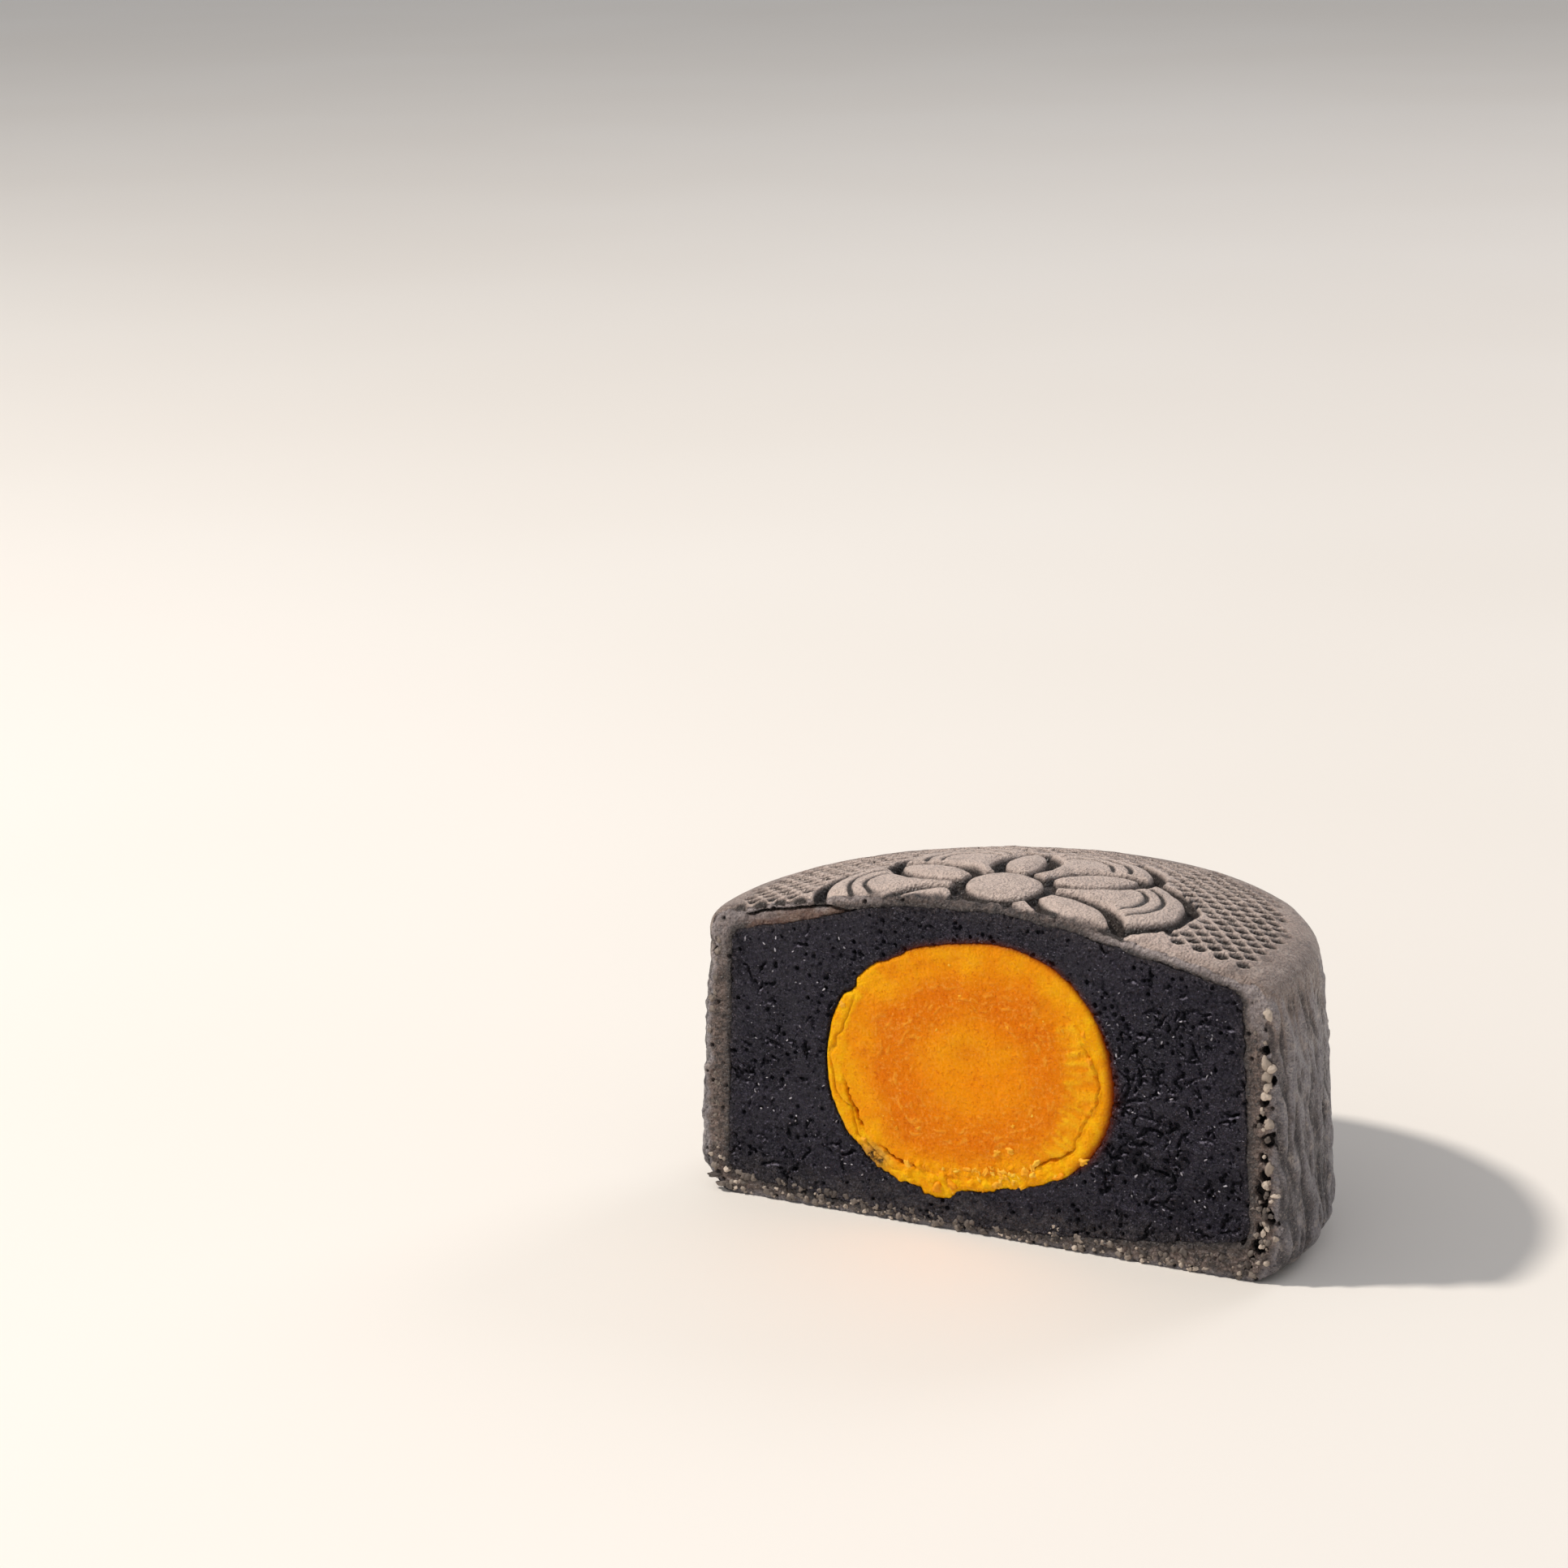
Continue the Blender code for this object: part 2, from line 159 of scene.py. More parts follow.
def noise(points, size, seed=0):
    """Smooth noise from about -1 to 1, whose lumps are size millimetres across."""
    scaled = np.asarray(points, float) / size + 31.7 * seed
    base = np.floor(scaled)
    part = scaled - base
    fade = part**3 * (part * (part * 6 - 15) + 10)
    total = np.zeros(len(scaled))
    for corner in np.ndindex(2, 2, 2):
        step = np.array(corner)
        slope = np.stack([cell_random(base + step, 7 * seed + k) for k in range(3)], 1) * 2 - 1
        weight = np.where(step, fade, 1 - fade).prod(1)
        total += weight * ((part - step) * slope).sum(1)
    return np.clip(2.1 * total, -1, 1)


def layered(points, size, seed, layers=3):
    """Noise of several sizes, each half as large and half as strong as the last."""
    total = sum(noise(points, size / 2**k, seed + k) / 2**k for k in range(layers))
    return total / (2 - 2.0 ** (1 - layers))


def cells(points, size, seed=0):
    """Distance to the nearest of many scattered points, and that one's random number."""
    scaled = np.asarray(points, float) / size
    base = np.floor(scaled)
    near = np.full(len(scaled), 9.0)
    which = np.zeros(len(scaled))
    for step in np.ndindex(3, 3, 3):
        cell = base + np.array(step) - 1
        spot = cell + np.stack([cell_random(cell, 11 * seed + k) for k in range(3)], 1)
        gap = np.sqrt(((scaled - spot) ** 2).sum(1))
        closer = gap < near
        which = np.where(closer, cell_random(cell, 11 * seed + 5), which)
        near = np.where(closer, gap, near)
    return near * size, which


def ramp(value, low, high):
    """0 below low, 1 above high and smooth between. With low above high it falls."""
    share = np.clip((np.asarray(value, float) - low) / (high - low), 0, 1)
    return share * share * (3 - 2 * share)


def spots(x, y, z=0.0):
    """Points from their coordinates, each given as one number or as many."""
    return np.stack(np.broadcast_arrays(x, y, z), -1)


def spaced(points, step):
    """The same line with its points this far apart, both ends kept."""
    points = np.asarray(points, float)
    run = np.concatenate([[0], np.cumsum(np.linalg.norm(np.diff(points, axis=0), axis=1))])
    count = max(int(round(run[-1] / step)), 1)
    at = np.linspace(0, run[-1], count + 1)
    return np.stack([np.interp(at, run, points[:, k]) for k in range(points.shape[1])], 1)


# Surfaces

class Skin:
    """The points, triangles and named values of one piece, gathered patch by patch."""

    def __init__(self, *names):
        self.points, self.faces, self.count = [], [], 0
        self.values = {name: [] for name in names}

    def add(self, points, faces, **values):
        self.points.append(points)
        faces = np.asarray(faces, np.int64)
        if faces.shape[1] == 4:
            faces = np.concatenate([faces[:, [0, 1, 2]], faces[:, [0, 2, 3]]])
        self.faces.append(faces + self.count)
        for name, kept in self.values.items():
            kept.append(np.broadcast_to(np.asarray(values.get(name, 0.0), float), len(points)))
        self.count += len(points)

    def add_rows(self, rows, closed, **values):
        """A grid of rows, all of one length, given as an array of rows by columns by 3."""
        height, width = rows.shape[:2]
        index = np.arange(height * width).reshape(height, width)
        if closed:
            index = np.concatenate([index, index[:, :1]], 1)
        quads = np.stack([index[:-1, :-1], index[:-1, 1:], index[1:, 1:], index[1:, :-1]], -1)
        flat = {name: np.ravel(value) for name, value in values.items()}
        self.add(rows.reshape(-1, 3), quads.reshape(-1, 4), **flat)

    def mesh(self, name):
        """One closed mesh in metres, with touching patches welded."""
        points = np.concatenate(self.points)
        _, first, index = np.unique(np.round(points, 4), axis=0, return_index=True, return_inverse=True)
        faces = index.reshape(-1)[np.concatenate(self.faces)]
        whole = (faces[:, 0] != faces[:, 1]) & (faces[:, 1] != faces[:, 2]) & (faces[:, 2] != faces[:, 0])
        faces = faces[whole]
        places = (points[first] + (0, AXIS_Y, 0)) * MM
        mesh = bpy.data.meshes.new(name)
        mesh.vertices.add(len(places))
        mesh.vertices.foreach_set("co", places.astype(np.float32).ravel())
        mesh.loops.add(faces.size)
        mesh.loops.foreach_set("vertex_index", faces.astype(np.int32).ravel())
        mesh.polygons.add(len(faces))
        mesh.polygons.foreach_set("loop_start", np.arange(0, faces.size, 3, dtype=np.int32))
        for key, kept in self.values.items():
            mesh.attributes.new(key, "FLOAT", "POINT").data.foreach_set(
                "value", np.concatenate(kept)[first].astype(np.float32))
        mesh.update(calc_edges=True)
        bm = bmesh.new()
        bm.from_mesh(mesh)
        bmesh.ops.recalc_face_normals(bm, faces=bm.faces)
        bm.to_mesh(mesh)
        bm.free()
        mesh.validate()
        return mesh


def tree_of(points):
    tree = KDTree(len(points))
    for i, point in enumerate(points):
        tree.insert((point[0], point[1], 0), i)
    tree.balance()
    return tree


def distance_to(line, points):
    """How far each flat point is from a line of close points."""
    tree = tree_of(line)
    return np.array([tree.find((x, y, 0))[2] for x, y in points])


def filled(outline, holes, step, turn=0.0, hexagonal=True):
    """Triangles that fill a flat outline less its holes, all anticlockwise. Border points come first."""
    border = np.concatenate([outline, *holes])
    cos, sin = math.cos(turn), math.sin(turn)
    spin = np.array([(cos, sin), (-sin, cos)])
    turned = outline @ spin.T
    rise = step * (math.sqrt(0.75) if hexagonal else 1.0)
    i, j = np.meshgrid(
        np.arange(math.floor(turned[:, 0].min() / step), math.ceil(turned[:, 0].max() / step) + 1),
        np.arange(math.floor(turned[:, 1].min() / rise), math.ceil(turned[:, 1].max() / rise) + 1),
        indexing="ij")
    grid = np.stack([i * step + (0.5 * step * (j % 2) if hexagonal else 0), j * rise], -1).reshape(-1, 2)
    grid = grid @ spin
    grid = grid[distance_to(border, grid) > EDGE_CLEAR * step]
    loops, start = [], 0
    for loop in (outline, *holes):
        loops.append(list(range(start, start + len(loop))))
        start += len(loop)
    flat = np.concatenate([border, grid])
    _, _, faces, origins, _, inside = delaunay_2d_cdt([Vector(p) for p in flat], [], loops, 0, 1e-6)
    source = np.array([o[0] for o in origins])
    kept = source[np.array([f for f, parents in zip(faces, inside) if parents == [0]])]
    used = np.unique(np.concatenate([np.arange(len(border)), kept.ravel()]))
    index = np.full(len(flat), -1)
    index[used] = np.arange(len(used))
    return flat[used], index[kept]


# The crust's outer form

def dome(radius):
    return EDGE_Z + DOME_RISE * (1 - (radius / EDGE_R) ** 2)


def pressed_top(x, y):
    """Height of the pressed pattern above the dome, how deep each point lies in a groove, pit or vein for the
    painted shade, and the painted highlight on lips and ribs and painted sheen on the raised panels.
    """
    flat = spots(x, y)
    gx = x + 0.16 * noise(flat, 3.4, 41)
    gy = y + 0.16 * noise(flat, 3.4, 42)
    turns = LOBE_TURN + 2 * np.pi * np.arange(LOBES) / LOBES
    centres = LOBE_FROM_AXIS * np.stack([np.cos(turns), np.sin(turns)], 1)
    reach = np.stack([np.hypot(gx - cx, gy - cy) for cx, cy in centres])
    radius = np.hypot(gx, gy)
    hub = np.abs(radius - HUB_R)
    off = np.where(radius > HUB_R, np.minimum(hub, np.abs(reach - LOBE_R).min(0)), hub)
    nearest = reach.min(0)
    inside = (radius < HUB_R) | (nearest < LOBE_R)
    width = GROOVE_HALF_W * (1 + 0.3 * noise(flat, 4.0, 43))
    groove = ramp(off, width + 0.18, width - 0.22)
    grain = 1 + 0.22 * noise(flat, 0.7, 44) * groove
    puff = PANEL_PUFF * (1 - np.exp(-((np.clip(off - 0.5, 0, None) / 0.7) ** 2))) * inside
    outer = ramp(radius, VEINS_FROM, VEINS_FROM + 1) * ramp(off, width + 0.35, width + 0.8)
    veins = outer * np.stack([ramp(np.abs(nearest - at), 0.34, 0.08) for at in VEINS]).max(0)
    pits, ribs = pit_depth(x, y, centres)
    height = puff - GROOVE_DEPTH * groove * grain - PIT_DEPTH * pits - VEIN_DEPTH * veins
    lip = ramp(off, width + 0.1, width + 0.25) * ramp(off, width + 0.75, width + 0.3)
    vein_lips = np.stack([ramp(np.abs(nearest - at - 0.5), 0.25, 0.1) for at in VEINS]).max(0)
    lip = np.maximum(lip, outer * vein_lips)
    # painted highlight along the lips of grooves and veins and on the pit ribs, and painted sheen over the raised
    # panels
    painted_highlight = np.maximum(np.maximum(lip, ribs), 0.62 * inside * ramp(off, width + 0.2, width + 0.8))
    return height, np.stack([groove, pits, 0.6 * veins]).max(0), painted_highlight


def pit_depth(x, y, centres):
    """How deep each point lies in a pit, and how much on a rib. Each pit is whole or left out."""
    cos, sin = math.cos(PIT_TURN), math.sin(PIT_TURN)
    u, v = (x * cos + y * sin) / PIT_PITCH, (y * cos - x * sin) / PIT_PITCH
    mu, mv = np.floor(u) + 0.5, np.floor(v) + 0.5
    mx, my = (mu * cos - mv * sin) * PIT_PITCH, (mu * sin + mv * cos) * PIT_PITCH
    chance = [cell_random(spots(mu - 0.5, mv - 0.5, k), 51) for k in range(3)]
    clear = np.stack([np.hypot(mx - cx, my - cy) for cx, cy in centres]).min(0) - LOBE_R
    middle_r = np.hypot(mx, my)
    field = (clear > GROOVE_HALF_W + 0.55) & (middle_r < PIT_FIELD_R - 0.5 * PIT_PITCH)
    field &= (middle_r > LOBE_FROM_AXIS) & ((my + CUT > 1.9) | (mx < 12))
    slow = noise(spots(mx, my), 9.0, 52)
    strength = (0.85 + 0.15 * ramp(clear, 1.0, 3.0)) * (0.9 + 0.25 * slow) * (0.85 + 0.25 * chance[0])
    strength = strength * ramp(middle_r, PIT_FIELD_R, PIT_FIELD_R - 2.5)
    du = np.abs(u - mu - 0.05 * (chance[1] - 0.5))
    dv = np.abs(v - mv - 0.05 * (chance[2] - 0.5))
    square = (du**3 + dv**3) ** (1 / 3)
    pit = field * strength
    return pit * ramp(square, 0.43, 0.3), pit * ramp(square, 0.4, 0.48)


def skin_lumps(points):
    """Slow dents and small lumps of the baked skin."""
    lumps = 0.09 * noise(points, 7.0, 11) + 0.05 * noise(points, 2.4, 12)
    return lumps + 0.03 * noise(points, 0.95, 13) + 0.02 * noise(points, 0.5, 18)


def edge_fall(gap, depth, reach):
    """How far a surface falls away close to an edge."""
    return depth * np.clip(1 - gap / reach, 0, None) ** 2


def crown(x, z=CAKE_R):
    """1 along the middle of the cut's upper edge, where the crust is torn, and 0 away from it."""
    return ramp(np.abs(x - CROWN_X), *CROWN_ENDS) * ramp(z, *CROWN_HEIGHTS)


def top_points(x, y):
    """Points of the pressed top, and the named values of each."""
    radius = np.hypot(x, y)
    base = spots(x, y, dome(radius))
    pressed, depth, painted_highlight = pressed_top(x, y)
    gap = y + CUT
    smeared = ramp(x, 10, 15)
    middle = crown(x)
    ragged = gap + 0.5 * noise(base, 1.1, 45) + 0.25 * noise(base, 0.4, 46)
    fray = middle * ramp(ragged, 1.0, 0.2)
    lift = skin_lumps(base) * ramp(radius, EDGE_R + 0.5, EDGE_R - 1)
    fading = ramp(gap, 1.3 + 0.9 * middle, 0.1 + 0.3 * middle)
    lift += pressed * (1 - (0.5 + 0.35 * smeared + 0.35 * middle) * fading)
    lift -= (1 - 0.5 * middle) * edge_fall(gap, 0.5, 1.0) + smeared * edge_fall(gap, 0.55, 2.2)
    lift -= fray * (0.12 + 0.2 * noise(base, 0.6, 47))
    base[:, 2] += lift
    # painted shade in the hollows and painted highlight on lips, ribs and panels, both less where the edge is torn
    values = {"cavity": depth * (1 - fray), "painted_highlight": painted_highlight * (1 - fray)}
    return base, {**values, "cut": fray, "seam": 0.75 * fray, "streak": 0.5}


def wall_profile():
    """(radius, height, outward radius part, outward height part) from the top's edge down to the foot."""
    rim_r = CAKE_R - WALL_TAPER - RIM_ROUND
    rim = np.linspace(math.pi / 2 - EDGE_SLOPE, 0, RIM_ROWS)
    foot = np.linspace(0, math.pi / 2, FOOT_ROWS)
    share = np.linspace(1, 0, int((WALL_TOP - FOOT_ROUND) / WALL_STEP))[1:-1]
    radius = np.concatenate([
        rim_r + RIM_ROUND * np.cos(rim),
        CAKE_R - WALL_TAPER * share**1.5,
        CAKE_R - FOOT_ROUND + FOOT_ROUND * np.cos(foot)])
    height = np.concatenate([
        WALL_TOP + RIM_ROUND * np.sin(rim),
        FOOT_ROUND + (WALL_TOP - FOOT_ROUND) * share,
        FOOT_ROUND - FOOT_ROUND * np.sin(foot)])
    out_r = np.concatenate([np.cos(rim), np.ones_like(share), np.cos(foot)])
    out_z = np.concatenate([np.sin(rim), np.full_like(share, 0.04), -np.sin(foot)])
    return radius, height, out_r, out_z


def wall_wave(angle, z):
    slow = np.sin(3 * angle + 0.8) * np.cos(0.07 * z)
    quick = np.sin(7 * angle + 0.15 * z)
    return WALL_WAVE * (1 - 0.65 * slow - 0.35 * quick) * np.abs(np.sin(2 * angle))


def cut_edge(along, seed):
    """How far behind the cut plane the crust's worn edge lies."""
    line = spots(along, seed)
    return 0.24 + 0.1 * noise(line, 1.6, seed) + 0.06 * noise(line, 0.5, seed + 1)


def wall_rows():
    """Points of the wall as rows from the rim to the foot, and the shade painted on each wrinkle."""
    radius, height, out_r, out_z = wall_profile()
    right = cut_edge(height, 21) - CUT
    left = cut_edge(height, 24) - CUT
    columns = int(2 * math.pi * WALL_SPAN * CAKE_R / WALL_STEP)
    share = np.linspace(0, 1, columns)
    start = np.arcsin(right / radius)[:, None]
    end = math.pi - np.arcsin(left / radius)[:, None]
    angle = start + (end - start) * share
    z = np.broadcast_to(height[:, None], angle.shape)
    reach = radius[:, None] - wall_wave(angle, z)
    points = spots(reach * np.cos(angle), reach * np.sin(angle), z)
    outward = spots(out_r[:, None] * np.cos(angle), out_r[:, None] * np.sin(angle), out_z[:, None])
    flat = points.reshape(-1, 3)
    run = (angle * CAKE_R).ravel()
    tall = z.ravel()
    bend = run + 0.16 * tall + 0.9 * noise(flat, 6.0, 14)
    soft = noise(spots(bend, tall / 5.0), 1.7, 15)
    strand = noise(spots(bend, tall / 7.0), 0.75, 16)
    dents = noise(spots(run, tall / 1.6), 1.5, 17)
    near, which = cells(spots(run, tall / 1.4), 1.6, 19)
    pocks = ramp(near, 0.4, 0.12) * (which > 0.72)
    body = ramp(tall, WALL_TOP + 1.6, WALL_TOP - 1.5) * ramp(tall, -0.5, 2.5)
    creases = body * (0.3 * soft + 0.24 * strand + 0.15 * dents - 0.2 * pocks)
    gap = flat[:, 1] + CUT
    beside = ramp(np.abs(np.cos(angle)).ravel(), 0.5, 0.8)
    worn = 0.3 * noise(flat, 1.3, 20) + 0.16 * noise(flat, 0.6, 22)
    relief = skin_lumps(flat) * ramp(tall, EDGE_Z + 0.01, EDGE_Z - 0.8) + creases
    relief += body * worn * ramp(gap, 1.6, 0.3) * beside
    relief = relief * ramp(tall, 0.0, 0.6) - edge_fall(gap, 0.55, 1.1) * beside * ramp(tall, 0, 1)
    points = (flat + outward.reshape(-1, 3) * relief[:, None]).reshape(points.shape)
    # painted light on the folds and painted shade in the creases and pocks, from the same noises as the relief
    light = body * (0.7 * soft + strand + 0.5 * dents - 0.5 * pocks)
    return points, np.clip(0.5 - light, 0, 1).reshape(angle.shape)


# The seam between crust and filling, and the yolk's outline, on the cut

def top_crust(x):
    """Thickness of the crust over the filling, along the cut."""
    line = spots(x, 0.0)
    thick = np.interp(x, *zip(*TOP_CRUST))
    return thick + 0.12 * noise(line, 3.0, 61) + 0.08 * noise(line, 0.9, 62)


def seam_roof():
    """The seam's height along the cut, under the dome and clear of the pressed pattern, as (x, height)."""
    x = np.linspace(-30, 30, 1200)
    smooth = dome(np.hypot(x, CUT)) - top_crust(x)
    pressed = top_points(x, np.full_like(x, 0.2 - CUT))[0][:, 2] - THIN_CRUST
    lowest = np.stack([np.roll(pressed, k) for k in range(-36, 37)]).min(0)
    soft = np.stack([np.roll(lowest, k) for k in range(-24, 25)]).mean(0)
    return x, np.minimum(smooth, soft)


def seam_reach(angle):
    """Distance from the middle of the face to the seam, by direction."""
    roof_x, roof_z = seam_roof()
    low, high = np.zeros_like(angle), np.full_like(angle, 40.0)
    for _ in range(40):
        reach = (low + high) / 2
        x, z = reach * np.cos(angle), FACE_MIDDLE + reach * np.sin(angle)
        side = SEAM_SIDE + SEAM_SPREAD * (1 - z / 28)
        roof = np.interp(x, roof_x, roof_z)
        share = x / FILL_R
        floor = BASE_CRUST + BASE_RISE * share**2 + BASE_LEAN * share
        outside = np.stack([np.abs(x) - side, z - roof, floor - z])
        corner = np.clip(outside + SEAM_CORNER, 0, None)
        beyond = np.sqrt((corner**2).sum(0)) - SEAM_CORNER
        low, high = np.where(beyond < 0, reach, low), np.where(beyond < 0, high, reach)
    return low


def seam_loop():
    """The seam on the cut as a closed loop of (x, z)."""
    angle = np.linspace(0, 2 * math.pi, 2400)
    reach = seam_reach(angle)
    loop = np.stack([reach * np.cos(angle), FACE_MIDDLE + reach * np.sin(angle)], 1)
    line = spots(loop[:, 0], loop[:, 1])
    wander = 0.13 * noise(line, 2.2, 63) + 0.07 * noise(line, 0.7, 64)
    loop += wander[:, None] * np.stack([np.cos(angle), np.sin(angle)], 1)
    loop[-1] = loop[0]
    return spaced(loop, EDGE_STEP)[:-1]


def yolk_reach(angle):
    turned = angle - YOLK_LEAN
    ellipse = 1 / np.hypot(np.cos(turned) / YOLK_HALF_W, np.sin(turned) / YOLK_HALF_H)
    return ellipse * (1 + sum(size * np.cos(n * angle - phase) for n, size, phase in YOLK_WAVES))


def off_by(angle, degrees):
    """How many degrees each angle is off a direction."""
    return np.abs((np.degrees(angle) - degrees + 180) % 360 - 180)


def facing(angle, degrees, outer, inner):
    """0 further off a direction than the outer half span, and 1 within the inner one."""
    return ramp(off_by(angle, degrees), outer, inner)


def yolk_loop():
    """The yolk's outline on the cut as a closed loop of (x, z)."""
    angle = np.linspace(0, 2 * math.pi, 1800)
    ring = 12 * spots(np.cos(angle), np.sin(angle))
    low = facing(angle, 258, 75, 35)
    wavy = (0.08 + 0.3 * low) * layered(ring, 1.6, 71)
    reach = yolk_reach(angle) + wavy + 0.1 * low * noise(ring, 0.35, 74)
    reach += 0.75 * facing(angle, 255, 8.5, 5.5)
    reach -= 0.5 * facing(angle, 152, 5, 1) + 0.25 * facing(angle, 128, 9, 3)
    loop = np.stack([YOLK_X + reach * np.cos(angle), YOLK_Z + reach * np.sin(angle)], 1)
    loop[-1] = loop[0]
    return spaced(loop, EDGE_STEP)[:-1]


def grown(loop, distance):
    """The closed loop moved outwards by a distance."""
    along = np.roll(loop, -1, 0) - np.roll(loop, 1, 0)
    along /= np.linalg.norm(along, axis=1)[:, None]
    return loop + distance * np.stack([along[:, 1], -along[:, 0]], 1)


# Reliefs of the cut face, as depths behind the cut plane

def on_face(flat, depth=0.0):
    """Points of the cut face from their x and z, at a depth behind the cut plane."""
    return spots(flat[:, 0], depth - CUT, flat[:, 1])


def patch(x, z, at_x, at_z, wide, tall):
    """1 in the middle of a soft round patch of the cut face, and near 0 outside it."""
    return np.exp(-(((x - at_x) / wide) ** 2) - ((z - at_z) / tall) ** 2)


def void_places():
    """(x, z, half width, half height, depth, lean) of the holes down the crust's right side."""
    rng = np.random.default_rng(8)
    places, z = [], 3.6
    while z < 26:
        growth = 0.85 + 0.45 * (1 - z / 26)
        x = VOID_ROW_X + rng.normal(0, 0.25)
        wide, tall = growth * rng.uniform(0.35, 0.62), growth * rng.uniform(0.45, 0.95)
        places.append((x, z, wide, tall, rng.uniform(0.9, 1.5), rng.uniform(-0.9, 0.5)))
        z += rng.uniform(1.3, 2.4)
    for x, z in SMALL_VOIDS:
        wide, tall = rng.uniform(0.25, 0.4), rng.uniform(0.35, 0.6)
        places.append((x, z, wide, tall, rng.uniform(0.5, 0.9), rng.uniform(-1, 1)))
    return places


def crack_line(x):
    """Height of the crack between the crust's two layers at the top left."""
    line = spots(x, 0.0)
    return dome(np.hypot(x, CUT)) - 1.05 - 0.5 * ramp(x, -16, -13) + 0.12 * noise(line, 1.3, 65)


def crust_face(flat, rim_gap, seam_gap):
    """Depth of the crust's cut face, the painted shade in its pores, holes and crack, and how much of the brown
    strip.
    """
    points = on_face(flat)
    x, z = flat[:, 0], flat[:, 1]
    depth = 0.10 * noise(points, 2.2, 81) + 0.07 * noise(points, 0.8, 82) + 0.04 * noise(points, 0.38, 86)
    base = ramp(z, 4.5, 2.0)
    near, which = cells(points, 0.8, 83)
    pores = ramp(near, 0.28, 0.1) * (which > 0.8 - 0.25 * base) * (0.2 + 0.3 * which)
    grains, size = cells(points, 0.42, 84)
    bumps = ramp(grains, 0.28, 0.05) * (0.05 + 0.08 * size) * (1 + 0.8 * base)
    holes = np.zeros(len(flat))
    wobble = 0.45 * noise(points, 0.7, 85) + 0.2 * noise(points, 0.3, 87)
    for at_x, at_z, wide, tall, deep, lean in void_places():
        dx, dz = x - at_x, z - at_z
        u, v = dx * math.cos(lean) - dz * math.sin(lean), dx * math.sin(lean) + dz * math.cos(lean)
        reach = np.abs(u / wide) ** 1.4 + np.abs(v / tall) ** 1.4 + wobble
        holes = np.maximum(holes, deep * ramp(reach, 1.25, 0.6))
    along = ramp(x, -25.2, -24.0) * ramp(x, -12.6, -13.6) * ramp(z, 20, 22)
    above = z - crack_line(x)
    crack = 0.7 * along * ramp(np.abs(above), 0.16, 0.05)
    strip = along * ramp(above, 0.0, -0.15)
    patchy = ramp(noise(points, 4.0, 88), -0.4, 0.3)
    torn = crown(x, z)
    depth += edge_fall(rim_gap, 0.4 - 0.16 * torn, 1.1 - 0.6 * torn)
    depth += (1 - base) * (1 - torn) * edge_fall(seam_gap, 0.02 + 0.12 * patchy, 0.4)
    depth += (pores * (1 - strip) + holes) * ramp(rim_gap, 0.05, 0.35) + crack
    depth += 0.12 * strip - bumps * (1 - 0.8 * strip)
    return depth, np.clip(pores * 1.6 + holes * 1.4 + crack * 1.6, 0, 1), strip


def torn_lines(flat):
    """Depth of the short tears in the filling, and how much each point is on the lip under one, where a highlight
    is painted.

    Each tear wanders from a random place and narrows to its ends.
    """
    rng = np.random.default_rng(71)
    depth, lip = np.zeros(len(flat)), np.zeros(len(flat))
    for k in range(TEARS):
        spot = TEAR_SPOTS[k % len(TEAR_SPOTS)]
        place = np.array([rng.normal(spot[0], spot[2]), rng.normal(spot[1], spot[3])])
        heading = rng.uniform(0, 2 * math.pi)
        count = int(rng.integers(3, 11))
        deep, wide = rng.uniform(0.15, 0.5), rng.uniform(0.05, 0.16)
        for step in range(count):
            heading += rng.normal(0, 0.65)
            after = place + rng.uniform(0.16, 0.36) * np.array([math.cos(heading), math.sin(heading)])
            low, high = np.minimum(place, after) - 0.3, np.maximum(place, after) + 0.3
            near = np.flatnonzero(((flat > low) & (flat < high)).all(1))
            line = after - place
            share = np.clip((flat[near] - place) @ line / (line @ line), 0, 1)
            off = flat[near] - place - share[:, None] * line
            gap, under = np.linalg.norm(off, axis=1), np.linalg.norm(off + LIP_SHIFT, axis=1)
            narrow = math.sin(math.pi * (step + 0.7) / (count + 0.4))
            half = wide * narrow
            depth[near] = np.maximum(depth[near], deep * narrow * ramp(gap, half + 0.08, half * 0.3))
            lip[near] = np.maximum(lip[near], narrow * ramp(under, 0.17, 0.05))
            place = after
    return depth, lip * ramp(depth, 0.12, 0.03)


